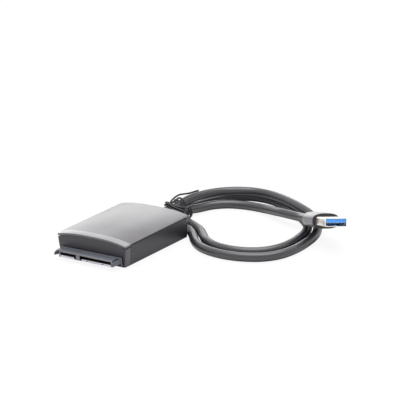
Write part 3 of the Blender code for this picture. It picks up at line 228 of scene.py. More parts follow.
# Tie. Its loose end arcs back over the wraps, and its folded slack lies over the relief.
TIE_DIAMETER = 0.0010
TIE_SLACK = 0.0002
TIE_CENTRE_Y = 0.0535
TIE_TURNS = 2
TIE_TURN_PITCH = 0.0022
TIE_REACH = 0.0140
TIE_TOP_STEPS = 3
TIE_LOOSE_END = [
    (0.0018, 0.0670, 0.0121), (0.0009, 0.0640, 0.0121), (0.0001, 0.0605, 0.0122),
    (-0.0005, 0.0560, 0.0130), (-0.0008, 0.0530, 0.0134), (-0.0008, 0.0500, 0.0132),
    (-0.0006, 0.0474, 0.0128), (-0.0004, 0.0458, 0.0124), (-0.0003, 0.0452, 0.0118),
    (-0.0004, 0.0460, 0.0113), (-0.0005, 0.0484, 0.0113),
]
TIE_FOLD = [
    (0.0064, 0.0530, 0.0084), (0.0086, 0.0480, 0.0096), (0.0098, 0.0446, 0.0105),
    (0.0092, 0.0420, 0.0112), (0.0062, 0.0414, 0.0115), (0.0027, 0.0414, 0.0124),
    (0.0008, 0.0414, 0.0129), (-0.0003, 0.0408, 0.0130), (0.0008, 0.0402, 0.0129),
    (0.0027, 0.0402, 0.0123), (0.0062, 0.0402, 0.0112), (0.0104, 0.0402, 0.0105),
    (0.0113, 0.0406, 0.0099), (0.0104, 0.0408, 0.0093), (0.0062, 0.0408, 0.0100),
    (0.0027, 0.0408, 0.0111), (0.0006, 0.0408, 0.0117), (-0.0006, 0.0402, 0.0118),
    (0.0006, 0.0396, 0.0117), (0.0027, 0.0396, 0.0111), (0.0062, 0.0396, 0.0100),
    (0.0102, 0.0396, 0.0093),
]


# Curves

def smooth_curve(points, steps=10):
    """Points on one smooth curve through the given points."""
    route = [Vector(point) for point in points]
    route = [2 * route[0] - route[1]] + route + [2 * route[-1] - route[-2]]
    result = []
    for before, start, end, after in zip(route, route[1:], route[2:], route[3:]):
        for step in range(steps):
            t = step / steps
            result.append(0.5 * (
                2 * start + (end - before) * t
                + (2 * before - 5 * start + 4 * end - after) * t ** 2
                + (3 * start - before - 3 * end + after) * t ** 3))
    result.append(route[-2])
    return result


def even_points(curve, count):
    """The same curve in steps of equal length."""
    lengths = [0.0]
    for start, end in zip(curve, curve[1:]):
        lengths.append(lengths[-1] + (end - start).length)
    result = []
    index = 0
    for number in range(count):
        wanted = lengths[-1] * number / (count - 1)
        while index < len(curve) - 2 and lengths[index + 1] < wanted:
            index += 1
        share = (wanted - lengths[index]) / (lengths[index + 1] - lengths[index])
        result.append(curve[index].lerp(curve[index + 1], share))
    return result


def round_wire(name, points, radius, resolution):
    """A round cable or wire along points, closed at both ends."""
    curve = bpy.data.curves.new(name, "CURVE")
    curve.dimensions = "3D"
    curve.bevel_depth = radius
    curve.bevel_resolution = resolution
    curve.use_fill_caps = True
    curve.render_resolution_u = 0
    spline = curve.splines.new("POLY")
    spline.points.add(len(points) - 1)
    for slot, point in zip(spline.points, points):
        slot.co = (*point, 1.0)
    spline.use_smooth = True
    item = bpy.data.objects.new(name, curve)
    bpy.context.scene.collection.objects.link(item)
    return item


# Materials

def new_material(name):
    """A material, its nodes, its links and its shader."""
    material = bpy.data.materials.new(name)
    material.use_nodes = True
    nodes = material.node_tree.nodes
    return material, nodes, material.node_tree.links, nodes["Principled BSDF"]


def object_coordinates(nodes):
    return nodes.new("ShaderNodeTexCoord").outputs["Object"]


def noise(nodes, links, vector, scale, detail=3.0, roughness=0.5):
    node = nodes.new("ShaderNodeTexNoise")
    node.inputs["Scale"].default_value = scale
    node.inputs["Detail"].default_value = detail
    node.inputs["Roughness"].default_value = roughness
    links.new(vector, node.inputs["Vector"])
    return node.outputs["Fac"]


def spread(nodes, links, value, low, high):
    """Maps the middle of a noise to a range."""
    node = nodes.new("ShaderNodeMapRange")
    node.inputs["From Min"].default_value = 0.3
    node.inputs["From Max"].default_value = 0.7
    node.inputs["To Min"].default_value = low
    node.inputs["To Max"].default_value = high
    links.new(value, node.inputs["Value"])
    return node.outputs["Result"]


def two_tones(nodes, links, value, dark, light):
    node = nodes.new("ShaderNodeMix")
    node.data_type = "RGBA"
    node.inputs["A"].default_value = (*dark, 1.0)
    node.inputs["B"].default_value = (*light, 1.0)
    links.new(value, node.inputs["Factor"])
    return node.outputs["Result"]


def raise_bump(nodes, links, height, strength, distance, shader):
    bump = nodes.new("ShaderNodeBump")
    bump.inputs["Strength"].default_value = strength
    bump.inputs["Distance"].default_value = distance
    links.new(height, bump.inputs["Height"])
    links.new(bump.outputs["Normal"], shader.inputs["Normal"])


def moulded_plastic(name, color, roughness, grain=9000.0, depth=0.000015, strength=0.35,
                    vary=0.12):
    """Plastic with the fine grain of a sparked mould and a slight unevenness in its gloss."""
    material, nodes, links, shader = new_material(name)
    vector = object_coordinates(nodes)
    fine = noise(nodes, links, vector, grain, 2.0)
    broad = noise(nodes, links, vector, 90.0, 3.0)
    dark = tuple(part * (1.0 - vary) for part in color)
    light = tuple(min(part * (1.0 + vary), 1.0) for part in color)
    links.new(two_tones(nodes, links, spread(nodes, links, broad, 0.0, 1.0), dark, light),
              shader.inputs["Base Color"])
    links.new(spread(nodes, links, fine, roughness - 0.05, roughness + 0.05),
              shader.inputs["Roughness"])
    raise_bump(nodes, links, fine, strength, depth, shader)
    return material


def bright_metal(name, color, roughness):
    """Plated metal with faint handling marks in its gloss."""
    material, nodes, links, shader = new_material(name)
    vector = object_coordinates(nodes)
    worn = noise(nodes, links, vector, 1800.0, 4.0)
    shader.inputs["Metallic"].default_value = 1.0
    dark = tuple(part * 0.93 for part in color)
    links.new(two_tones(nodes, links, spread(nodes, links, worn, 0.0, 1.0), dark, color),
              shader.inputs["Base Color"])
    links.new(spread(nodes, links, worn, roughness - 0.04, roughness + 0.06),
              shader.inputs["Roughness"])
    raise_bump(nodes, links, worn, 0.15, 0.00001, shader)
    return material


LID = moulded_plastic("satin lid", (0.128, 0.123, 0.131), 0.34, vary=0.06)
CASE = moulded_plastic("satin case", (0.034, 0.033, 0.041), 0.42, vary=0.06)
# The sides of the front frame in a lighter copy of the case's grey: painted light, where they
# catch light from the side
BAND_SIDE_PAINTED_LIGHT = moulded_plastic("band sides painted light", (0.078, 0.076, 0.092), 0.34, vary=0.06)
# The lid's front band in a lighter copy of the lid's grey: painted light, where the band catches
# more light
LID_BAND_PAINTED_LIGHT = moulded_plastic("lid band painted light", (0.34, 0.33, 0.34), 0.32, vary=0.05)
# Inside of the slots near black: partly the dark plastic inside, partly painted shade
SLOT_SHADE = moulded_plastic("dark slot plastic and painted shade", (0.012, 0.012, 0.014), 0.55)
# Near-black front face of the grip: painted shade, for a face turned away from the light
GRIP_FACE_SHADE = moulded_plastic("grip face painted shade", (0.016, 0.015, 0.017), 0.50)
CONNECTOR = moulded_plastic("connector body", (0.094, 0.100, 0.122), 0.38)
JACKET = moulded_plastic("cable jacket", (0.021, 0.0195, 0.0255), 0.32, grain=5000.0)
JACKET.node_tree.nodes["Principled BSDF"].inputs["Specular IOR Level"].default_value = 0.85
GRIP = moulded_plastic("plug grip", (0.200, 0.194, 0.203), 0.32)
BLUE = moulded_plastic("blue insulator", (0.09, 0.36, 0.90), 0.30)
RUBBER = moulded_plastic("foot rubber", (0.02, 0.02, 0.02), 0.75, grain=4000.0)
BOARD = moulded_plastic("board coating", (0.01, 0.10, 0.04), 0.35)
CHIP = moulded_plastic("chip body", (0.018, 0.018, 0.02), 0.5)
FERRITE = moulded_plastic("ferrite body", (0.05, 0.05, 0.055), 0.6)
# Pale face of the lower jaw under the slots: painted light, standing in for light from the floor
JAW_PAINTED_LIGHT = moulded_plastic("jaw painted light", (0.62, 0.62, 0.67), 0.36)
# Upper lip and divider of the nose's front in a lighter grey: painted light, standing in for a
# reflection
NOSE_FACE_PAINTED_LIGHT = moulded_plastic("nose face painted light", (0.19, 0.195, 0.225), 0.36)
LENS = moulded_plastic("light pipe", (0.20, 0.20, 0.21), 0.30)
TIE = moulded_plastic("tie coating", (0.012, 0.012, 0.014), 0.42)
STEEL = bright_metal("plated steel", (0.97, 0.93, 0.86), 0.34)
GOLD = bright_metal("gold plating", (0.90, 0.68, 0.33), 0.24)

FINISH_OF_SLOT = {
    "case_grey": CASE, "lid_grey": LID, "connector_grey": CONNECTOR, "cable_black": JACKET,
    "grip_grey": GRIP, "plug_blue": BLUE, "steel": STEEL, "gold": GOLD, "rubber": RUBBER,
    "board_green": BOARD, "chip": CHIP, "ferrite": FERRITE, "lens": LENS, "tie_black": TIE,
}


def dress_cad_nodes():
    """Gives every CAD node the finish of its slot in the record."""
    slot_of_node = {part["node"]: part["material_slot"] for part in frame["record"]["subparts"]}
    for name, node in NODES.items():
        node.data.materials.clear()
        node.data.materials.append(FINISH_OF_SLOT[slot_of_node[name]])


# Modelling

def start_fresh():
    """Leaves edit mode and deselects everything."""
    if bpy.context.object and bpy.context.object.mode != "OBJECT":
        bpy.ops.object.mode_set(mode="OBJECT")
    bpy.ops.object.select_all(action="DESELECT")


def select_only(piece):
    start_fresh()
    bpy.context.view_layer.objects.active = piece
    piece.select_set(True)


def add_block(name, low, high):
    """A block between two corners, with its place in its mesh."""
    start_fresh()
    low = Vector(low)
    high = Vector(high)
    bpy.ops.mesh.primitive_cube_add(size=1.0, location=(low + high) / 2, scale=high - low)
    block = bpy.context.object
    block.name = name
    bpy.ops.object.transform_apply(location=True, rotation=True, scale=True)
    return block


def add_rod(name, start, end, radius, sides=40):
    """A round rod between two points, with its place in its mesh."""
    start_fresh()
    start = Vector(start)
    end = Vector(end)
    turn = (end - start).to_track_quat("Z", "Y").to_euler()
    bpy.ops.mesh.primitive_cylinder_add(
        vertices=sides, radius=radius, depth=(end - start).length, location=(start + end) / 2,
        rotation=turn)
    rod = bpy.context.object
    rod.name = name
    bpy.ops.object.transform_apply(location=True, rotation=True, scale=True)
    return rod


def edit(piece):
    select_only(piece)
    bpy.ops.object.mode_set(mode="EDIT")
    bpy.ops.mesh.select_all(action="DESELECT")


def leave_edit():
    bpy.ops.object.mode_set(mode="OBJECT")


def select_edges(piece, wanted):
    """Selects the edges whose two ends pass a test."""
    bpy.ops.mesh.select_mode(type="EDGE")
    bpy.ops.mesh.select_all(action="DESELECT")
    mesh = bmesh.from_edit_mesh(piece.data)
    for edge in mesh.edges:
        edge.select_set(bool(wanted(edge.verts[0].co, edge.verts[1].co)))
    bmesh.update_edit_mesh(piece.data)


def select_sharp_edges(piece, angle, wanted=None):
    """Selects the edges that fold more than an angle, and whose ends pass a test."""
    bpy.ops.mesh.select_mode(type="EDGE")
    bpy.ops.mesh.select_all(action="DESELECT")
    mesh = bmesh.from_edit_mesh(piece.data)
    limit = math.radians(angle)
    for edge in mesh.edges:
        folds = len(edge.link_faces) == 2 and edge.calc_face_angle(0.0) > limit
        ends = (edge.verts[0].co, edge.verts[1].co)
        edge.select_set(folds and (wanted is None or bool(wanted(*ends))))
    bmesh.update_edit_mesh(piece.data)


def select_faces(piece, wanted):
    """Selects the faces whose middle and normal pass a test."""
    bpy.ops.mesh.select_mode(type="FACE")
    bpy.ops.mesh.select_all(action="DESELECT")
    mesh = bmesh.from_edit_mesh(piece.data)
    mesh.normal_update()
    for face in mesh.faces:
        face.select_set(bool(wanted(face.calc_center_median(), face.normal)))
    bmesh.update_edit_mesh(piece.data)


def slice_across(axis, places):
    """Adds edge lines all round the edited piece at places along one axis."""
    normal = [0.0, 0.0, 0.0]
    normal["xyz".index(axis)] = 1.0
    for place in places:
        point = [0.0, 0.0, 0.0]
        point["xyz".index(axis)] = place
        bpy.ops.mesh.select_all(action="SELECT")
        bpy.ops.mesh.bisect(plane_co=point, plane_no=normal, threshold=SLICE_MERGE)


def move_points(piece, place_of):
    """Shapes a piece by taking each of its points to a new place."""
    mesh = bmesh.from_edit_mesh(piece.data)
    for point in mesh.verts:
        point.co = place_of(point.co)
    bmesh.update_edit_mesh(piece.data)


def apply_modifiers(piece):
    select_only(piece)
    for name in [modifier.name for modifier in piece.modifiers]:
        bpy.ops.object.modifier_apply(modifier=name)


def smooth_shade(piece, angle):
    select_only(piece)
    bpy.ops.object.shade_smooth_by_angle(angle=math.radians(angle))


def round_edges(piece, width, segments=3, angle=32.0, smooth=35.0):
    bevel = piece.modifiers.new("round edges", "BEVEL")
    bevel.width = width
    bevel.segments = segments
    bevel.limit_method = "ANGLE"
    bevel.angle_limit = math.radians(angle)
    apply_modifiers(piece)
    smooth_shade(piece, smooth)


def cut_away(piece, *tools):
    """Cuts tools out of a piece and throws the tools away."""
    for tool in tools:
        boolean = piece.modifiers.new("cut", "BOOLEAN")
        boolean.operation = "DIFFERENCE"
        boolean.solver = "EXACT"
        boolean.object = tool
        apply_modifiers(piece)
        bpy.data.objects.remove(tool, do_unlink=True)


def wear_finish(piece, slot, finish, *nodes):
    """Gives a finished piece its material and stands it in for its CAD nodes."""
    piece.data.materials.clear()
    piece.data.materials.append(finish)
    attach(piece, "root")
    if nodes:
        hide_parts(*nodes)
    return piece


def worked_copy(node_name, name, flat=0.6):
    """The CAD piece's own shape as clean faces, ready for its edges to be worked."""
    start_fresh()
    piece = bpy.data.objects.new(name, NODES[node_name].data.copy())
    bpy.context.scene.collection.objects.link(piece)
    edit(piece)
    bpy.ops.mesh.select_all(action="SELECT")
    bpy.ops.mesh.remove_doubles(threshold=WELD)
    bpy.ops.mesh.dissolve_limited(angle_limit=math.radians(flat))
    leave_edit()
    return piece


# Case

def side_half_width(z):
    """Half the width of the leaning, slightly bulging sides at a height."""
    share = min(max((z - BASE_Z) / (EDGE_Z - BASE_Z), 0.0), 1.0)
    return HALF_WIDTH - SIDE_LEAN * (1.0 - share) ** SIDE_BULGE


def band_share(y):
    """How far a place is into the front band: none at its back, all of it at the front."""
    return max(BAND_Y - y, 0.0) / (BAND_Y - FRONT_Y)


def crown_z(x, y):
    """Height of the lid's crown."""
    share = min(abs(x) / HALF_WIDTH, 1.0)
    return EDGE_Z + CROWN_HEIGHT * (1.0 - share ** CROWN_POWER) - BAND_DROP * band_share(y)


def lean(point):
    """Takes a straight-sided point to the leaning sides and the tapered front band."""
    half = side_half_width(point.z) - BAND_TAPER * band_share(point.y)
    return Vector((point.x * half / HALF_WIDTH, point.y, point.z))


def crown_columns():
    """Places across the case that lie closer together towards the sides."""
    return [HALF_WIDTH * math.sin(math.pi * (step / CROWN_COLUMNS - 0.5))
            for step in range(1, CROWN_COLUMNS)]


def rows_up(height, count):
    """Places up a side wall, between which its lean and bulge are shaped."""
    return [BASE_Z + height * step / count for step in range(1, count)]


def round_upright_corners(piece, y, radius, segments=7):
    """Rounds the two upright edges at the front or the back of the edited piece."""
    def upright(one, other):
        return (abs(one.x - other.x) < 1e-6 and abs(one.y - other.y) < 1e-6
                and abs(one.y - y) < 1e-6 and abs(one.z - other.z) > 1e-4)
    select_edges(piece, upright)
    bpy.ops.mesh.bevel(offset=radius, segments=segments, affect="EDGES")


def make_lid():
    """Crowned lid: a lip over the front frame, a hollow underside and the indicator's hole."""
    lid = add_block("lid", (-HALF_WIDTH, FRONT_Y, SPLIT_Z), (HALF_WIDTH, BACK_Y, EDGE_Z))
    edit(lid)
    round_upright_corners(lid, FRONT_Y, FRONT_CORNER)
    round_upright_corners(lid, BACK_Y, BACK_CORNER)
    x, y = LED_PLACE
    slice_across("x", crown_columns() + [x - LED_SURROUND, x + LED_SURROUND])
    slice_across("y", [BAND_Y, BAND_Y + FIT, y - LED_SURROUND, y + LED_SURROUND])

    def under(middle, normal):
        return normal.z < -0.9 and middle.y > BAND_Y + 2 * FIT
    select_faces(lid, under)
    bpy.ops.mesh.inset(thickness=WALL + GAP + LID_RIM_WALL)
    bpy.ops.mesh.extrude_region_move(TRANSFORM_OT_translate={"value": (0.0, 0.0, 2 * FIT)})

    def crowned(point):
        across = point.x * (HALF_WIDTH - BAND_TAPER * band_share(point.y)) / HALF_WIDTH
        crown = crown_z(across, point.y)
        if point.z > (SPLIT_Z + EDGE_Z) / 2:
            return Vector((across, point.y, crown))
        if point.z > SPLIT_Z + FIT:
            return Vector((across, point.y, max(crown - LID_THICKNESS, SPLIT_Z)))
        if point.y < BAND_Y + HAIR:
            return Vector((across, point.y, crown - LIP_THICKNESS))
        return Vector((across, point.y, SPLIT_Z))
    move_points(lid, crowned)
    leave_edit()
    cut_away(lid, add_rod("indicator hole", (x, y, SPLIT_Z - CUT_PAST),
                          (x, y, EDGE_Z + CROWN_HEIGHT + CUT_PAST), LED_RADIUS + FIT, 28))
    round_edges(lid, LID_ROUNDING, 3, angle=40.0, smooth=28.0)
    wear_finish(lid, "lid_grey", LID, "top_cover")
    # The top faces of the front band take the lighter copy: painted light
    lid.data.materials.append(LID_BAND_PAINTED_LIGHT)
    for face in lid.data.polygons:
        if face.center.y < BAND_Y and face.normal.z > 0.3:
            face.material_index = 1
    return lid


def foot_places():
    """The middles of the four feet, front pair first."""
    across = HALF_WIDTH - SIDE_LEAN - FOOT_INSET_X
    return [(x, y) for y in (FRONT_Y + FOOT_INSET_Y, BACK_Y - FOOT_INSET_Y)
            for x in (-across, across)]


def make_base():
    """Tray under the lid: leaning walls, a soft lower edge, foot recesses and the cable hole."""
    base = add_block("base", (-HALF_WIDTH, BAND_Y + GAP, BASE_Z), (HALF_WIDTH, BACK_Y, WALL_TOP_Z))
    edit(base)
    round_upright_corners(base, BACK_Y, BACK_CORNER)
    select_faces(base, lambda middle, normal: normal.z > 0.9)
    bpy.ops.mesh.inset(thickness=WALL)
    drop = BASE_Z + FLOOR_THICKNESS - WALL_TOP_Z
    bpy.ops.mesh.extrude_region_move(TRANSFORM_OT_translate={"value": (0.0, 0.0, drop)})
    slice_across("z", rows_up(0.0115, 8))
    move_points(base, lean)
    leave_edit()
    for x, y in foot_places():
        cut_away(base, add_rod("foot recess", (x, y, BASE_Z - CUT_PAST),
                               (x, y, BASE_Z + FOOT_RECESS), FOOT_RECESS_RADIUS, 40))
    cut_away(base, add_rod("cable hole", (0.0, BACK_Y - WALL - CUT_PAST, CABLE_Z),
                           (0.0, BACK_Y + CUT_PAST, CABLE_Z), RELIEF_NECK + FIT, 48))
    round_edges(base, BASE_ROUNDING, 4, angle=55.0, smooth=28.0)
    return wear_finish(base, "case_grey", CASE, "base_shell")


def make_front_frame():
    """Front frame under the lid's lip, with the window that the receptacle comes through."""
    frame_piece = add_block("front_frame", (-HALF_WIDTH, FRONT_Y, BASE_Z),
                            (HALF_WIDTH, BAND_Y - FIT, FRAME_TOP_Z))
    edit(frame_piece)
    round_upright_corners(frame_piece, FRONT_Y, FRONT_CORNER)
    slice_across("x", crown_columns())
    slice_across("z", rows_up(0.0100, 7))

    def shaped(point):
        if point.z < FRAME_TOP_Z - LIP_SIDE_DROP:
            return lean(point)
        near_side = min(max((abs(point.x) / HALF_WIDTH - 0.90) / 0.08, 0.0), 1.0)
        under_lip = crown_z(point.x, point.y) - LIP_THICKNESS - LIP_SEAM
        return lean(Vector((point.x, point.y, under_lip - LIP_SIDE_DROP * near_side)))
    move_points(frame_piece, shaped)
    leave_edit()
    window = add_block("window", (-WINDOW_HALF, FRONT_Y - CUT_PAST, NOSE_BOTTOM - 2 * FIT),
                       (WINDOW_HALF, BAND_Y + CUT_PAST, NOSE_TOP + 2 * FIT))
    cut_away(frame_piece, window)
    round_edges(frame_piece, FRAME_ROUNDING, 3, angle=55.0, smooth=28.0)
    wear_finish(frame_piece, "case_grey", CASE, "front_bezel")
    # The frame's outer side faces take the lighter copy: painted light
    frame_piece.data.materials.append(BAND_SIDE_PAINTED_LIGHT)
    for face in frame_piece.data.polygons:
        if abs(face.normal.x) > 0.8 and abs(face.center.x) > 0.9 * HALF_WIDTH:
            face.material_index = 1
    return frame_piece


def make_feet():
    """One rubber foot with a softened edge, modelled once and copied to the four corners."""
    foot = add_rod("foot_1", (0.0, 0.0, 0.0), (0.0, 0.0, FOOT_THICKNESS), FOOT_RADIUS, 48)
    edit(foot)
    select_faces(foot, lambda middle, normal: normal.z < -0.9)
    bpy.ops.mesh.inset(thickness=FOOT_RIM)
    bpy.ops.mesh.inset(thickness=FOOT_STEP)
    bpy.ops.transform.translate(value=(0.0, 0.0, FOOT_DISH))
    leave_edit()
    round_edges(foot, FOOT_ROUNDING, 3, angle=50.0, smooth=30.0)
    for number, (x, y) in enumerate(foot_places(), 1):
        copy = bpy.data.objects.new(f"foot_{number}", foot.data.copy())
        bpy.context.scene.collection.objects.link(copy)
        edit(copy)
        bpy.ops.mesh.select_all(action="SELECT")
        bpy.ops.transform.translate(value=(x, y, 0.0))
        leave_edit()
        wear_finish(copy, "rubber", RUBBER, f"rubber_foot_{number}")
    bpy.data.objects.remove(foot, do_unlink=True)


# Receptacle

def on_nose_front(middle, normal):
    return abs(middle.y - NOSE_FRONT) < HAIR and normal.y < -0.9


def split_front(body, axis, place):
    """Splits the nose's front face along one line, so its lower jaw can take painted light."""
    select_faces(body, on_nose_front)
    point = [place if name == axis else 0.0 for name in "xyz"]
    normal = [1.0 if name == axis else 0.0 for name in "xyz"]
    bpy.ops.mesh.bisect(plane_co=point, plane_no=normal, threshold=SLICE_MERGE)


def add_lead_in_cutter(left, right):
    """A wedge that eases the front edge of a slot's floor at 45 degrees."""
    cutter = add_block(
        "lead_in", (left, NOSE_FRONT - CUT_PAST, SLOT_FLOOR - LEAD_IN - CUT_PAST),
        (right, NOSE_FRONT + LEAD_IN, SLOT_FLOOR + 2 * FIT))
    edit(cutter)

    def sloped(point):
        at_back = point.y > NOSE_FRONT
        return Vector((point.x, point.y, max(point.z, SLOT_FLOOR) if at_back else point.z))
    move_points(cutter, sloped)
    leave_edit()
    return cutter


def finish_of_face(middle, normal):
    """The finish of one face of the receptacle, with its painted light and shade."""
    over_flat = any(left < middle.x < right for left, right in SLOT_FLATS)
    in_lead_in = middle.y < NOSE_FRONT + LEAD_IN and NOSE_BOTTOM < middle.z < SLOT_FLOOR
    in_slots = (abs(middle.x) < SLOTS_HALF + 2 * FIT
                and KEY_FLOOR - 2 * FIT < middle.z < SLOT_TOP + HAIR)
    # Inside the slots it is dark, partly for the real dark plastic and partly as painted shade
    if in_slots and NOSE_FRONT + 2 * LEAD_IN < middle.y < FRONT_Y + SLOT_SHADE_PAST_FRONT:
        return SLOT_SHADE
    # Below the slots, the lead-in slopes take painted shade and the jaw's front faces take painted
    # light
    if in_lead_in and over_flat and normal.y < -0.3:
        return SLOT_SHADE if normal.z > 0.3 else JAW_PAINTED_LIGHT
    # The rest of the nose's front face is lighter: painted light
    return NOSE_FACE_PAINTED_LIGHT if on_nose_front(middle, normal) else CONNECTOR


def make_receptacle():
    """The receptacle with eased outer edges and a lead-in along the floor of each slot."""
    body = worked_copy("sata_housing", "receptacle")
    for left, right in SLOT_FLATS:
        cut_away(body, add_lead_in_cutter(left, right))
    edit(body)
    for ends in SLOT_FLATS:
        for end in ends:
            split_front(body, "x", end)
    split_front(body, "z", SLOT_FLOOR - LEAD_IN)

    def outer_edge(one, other):
        def outside(place):
            return place.z > NOSE_TOP - HAIR or abs(place.x) > NOSE_HALF - HAIR
        return outside(one) and outside(other) and (one - other).length > SHORTEST_ROUNDED
    select_sharp_edges(body, 40.0, outer_edge)
    bpy.ops.mesh.bevel(offset=NOSE_ROUNDING, segments=2, affect="EDGES", clamp_overlap=True)
    leave_edit()
    smooth_shade(body, 25.0)
    wear_finish(body, "connector_grey", CONNECTOR, "sata_housing")
    # Besides the body's grey: painted light on the jaw and the nose's front, and painted shade in
    # the slots
    finishes = [CONNECTOR, JAW_PAINTED_LIGHT, SLOT_SHADE, NOSE_FACE_PAINTED_LIGHT]
    for finish in finishes[1:]:
        body.data.materials.append(finish)
    for face in body.data.polygons:
        face.material_index = finishes.index(finish_of_face(face.center, face.normal))
    return body


# Cable and plug

def plug_matrix():
    """From the plug's own frame, with its mating direction along +Z, to its place."""
    forward = PLUG_DIRECTION
    upward = forward.cross(PLUG_ACROSS).normalized()
    across = upward.cross(forward)
    turn = Matrix((across, upward, forward)).transposed().to_4x4()
    return Matrix.Translation(PLUG_POINT) @ turn


def place_on_plug(piece):
    """Takes a piece from the plug's own frame to its place, and leaves its object unturned."""
    select_only(piece)
    piece.matrix_world = plug_matrix()
    bpy.ops.object.transform_apply(location=True, rotation=True, scale=True)


def grip_size(share):
    """Half width, half height and squareness of the grip at a share of its length."""
    last = GRIP_STATIONS[0]
    for station in GRIP_STATIONS[1:]:
        if share <= station[0]:
            t = (share - last[0]) / (station[0] - last[0])
            t = 0.35 * t * t * (3.0 - 2.0 * t) + 0.65 * t
            wide = last[1] + (station[1] - last[1]) * t
            tall = last[2] + (station[2] - last[2]) * t
            break
        last = station
    half_width = GRIP_TAIL + (GRIP_WIDTH / 2 - GRIP_TAIL) * wide
    half_height = GRIP_TAIL + (GRIP_HEIGHT / 2 - GRIP_TAIL) * tall
    return half_width, half_height, 2.0 + 0.7 * min(wide, 1.0)


def make_grip():
    """Moulded grip: a squared oval that narrows to the cable, with its mould line."""
    grip = add_rod("grip", (0.0, 0.0, -GRIP_LENGTH), (0.0, 0.0, 0.0), GRIP_TAIL, 96)
    edit(grip)
    slice_across("z", [-GRIP_LENGTH * step / GRIP_ROWS for step in range(1, GRIP_ROWS)])

    def oval(point):
        share = min(max(-point.z / GRIP_LENGTH, 0.0), 1.0)
        half_width, half_height, power = grip_size(share)
        angle = math.atan2(point.y, point.x)
        c = math.cos(angle)
        s = math.sin(angle)
        mould_line = 1.0 - MOULD_LINE * math.exp(-(s / MOULD_LINE_WIDTH) ** 2)
        return Vector((half_width * mould_line * math.copysign(abs(c) ** (2 / power), c),
                       half_height * math.copysign(abs(s) ** (2 / power), s), point.z))
    move_points(grip, oval)
    select_faces(grip, lambda middle, normal: middle.z > -HAIR)
    bpy.ops.mesh.inset(thickness=GRIP_RIM)
    bpy.ops.transform.translate(value=(0.0, 0.0, -GRIP_DISH))
    leave_edit()
    half_x = SHELL_WIDTH / 2 + 4 * HAIR
    half_y = SHELL_HEIGHT / 2 + 4 * HAIR
    pocket = add_block("pocket", (-half_x, -half_y, -SHELL_ROOT - POCKET_ROOM),
                       (half_x, half_y, CUT_PAST))
    cut_away(grip, pocket)
    smooth_shade(grip, 32.0)
    place_on_plug(grip)
    wear_finish(grip, "grip_grey", GRIP, "plug_grip")
    # The grip's front face and its rim take painted shade
    grip.data.materials.append(GRIP_FACE_SHADE)
    into_plug = plug_matrix().inverted()
    for face in grip.data.polygons:
        if (into_plug @ face.center).z > -GRIP_FACE_SHADE_DEPTH:
            face.material_index = 1
    return grip


def make_shell():
    """Steel shell with its edges eased."""
    shell = worked_copy("plug_shell", "shell")
    round_edges(shell, SHELL_ROUNDING, 2, angle=50.0, smooth=40.0)
    return wear_finish(shell, "steel", STEEL, "plug_shell")


def make_tongue():
    """Blue insulator: a block at the back of the shell and a tongue along its upper half."""
    half_x = SHELL_WIDTH / 2 - SHELL_WALL - 2 * HAIR
    half_y = SHELL_HEIGHT / 2 - SHELL_WALL - 2 * HAIR
    low = SHELL_HEIGHT / 2 - SHELL_WALL - GAP - TONGUE_THICKNESS
    tongue = add_block("tongue", (-half_x, -half_y, -SHELL_ROOT), (half_x, half_y, TONGUE_BLOCK))
    edit(tongue)
    slice_across("y", [low])
    select_faces(tongue, lambda middle, normal: middle.y > low and normal.z > 0.9)
    reach = TONGUE_TIP - TONGUE_BLOCK
    bpy.ops.mesh.extrude_region_move(TRANSFORM_OT_translate={"value": (0.0, 0.0, reach)})
    leave_edit()
    pad_front = TONGUE_TIP - PAD_SETBACK
    half_groove = PAD_GROOVE_WIDTH / 2
    for x in PAD_PLACES:
        cut_away(tongue, add_block(
            "pad groove", (x - half_groove, low - CUT_PAST, pad_front - PAD_LENGTH),
            (x + half_groove, low + PAD_GROOVE_DEPTH, pad_front)))
    round_edges(tongue, TONGUE_ROUNDING, 2, angle=60.0, smooth=30.0)
    place_on_plug(tongue)
    return wear_finish(tongue, "plug_blue", BLUE, "plug_insulator")


def make_relief():
    """Ribbed relief, smoothed along its round sections."""
    relief = worked_copy("strain_relief", "relief", flat=0.05)
    smooth_shade(relief, 42.0)
    return wear_finish(relief, "cable_black", JACKET, "strain_relief")


def cable_line(count):
    """Even points along the cable, from the relief to the tail of the grip."""
    up_the_grip = [plug_matrix() @ Vector((0.0, 0.0, -GRIP_LENGTH - GAP - back))
                   for back in (CABLE_DIAMETER * 1.8, 0.0)]
    return even_points(smooth_curve(CABLE_ROUTE + up_the_grip), count)


def make_cable(pieces_on_it):
    """The cable as it lies, coiled. The pieces on it, passed in, are not used."""
    points = cable_line(CABLE_STEPS)
    cable = round_wire("cable", points, CABLE_DIAMETER / 2, 7)
    wear_finish(cable, "cable_black", JACKET, "usb_cable")


# Twist tie

def arc(centre, radius, start, end, segments):
    """Points on a round stretch between two angles in degrees."""
    return [
        (centre[0] + radius * math.cos(math.radians(start + (end - start) * step / segments)),
         centre[1] + radius * math.sin(math.radians(start + (end - start) * step / segments)))
        for step in range(segments + 1)]


def strands_at(line, y):
    """Where the three strands of the bundle stand at one place along it: top, left and right."""
    found = []
    for start, end in zip(line, line[1:]):
        if (start.y - y) * (end.y - y) <= 0.0 and start.x < TIE_REACH and start.y != end.y:
            place = start.lerp(end, (y - start.y) / (end.y - start.y))
            found.append((place.x, place.z))
    found.sort(key=lambda place: place[1])
    left, right = sorted(found[:2])
    return found[-1], left, right


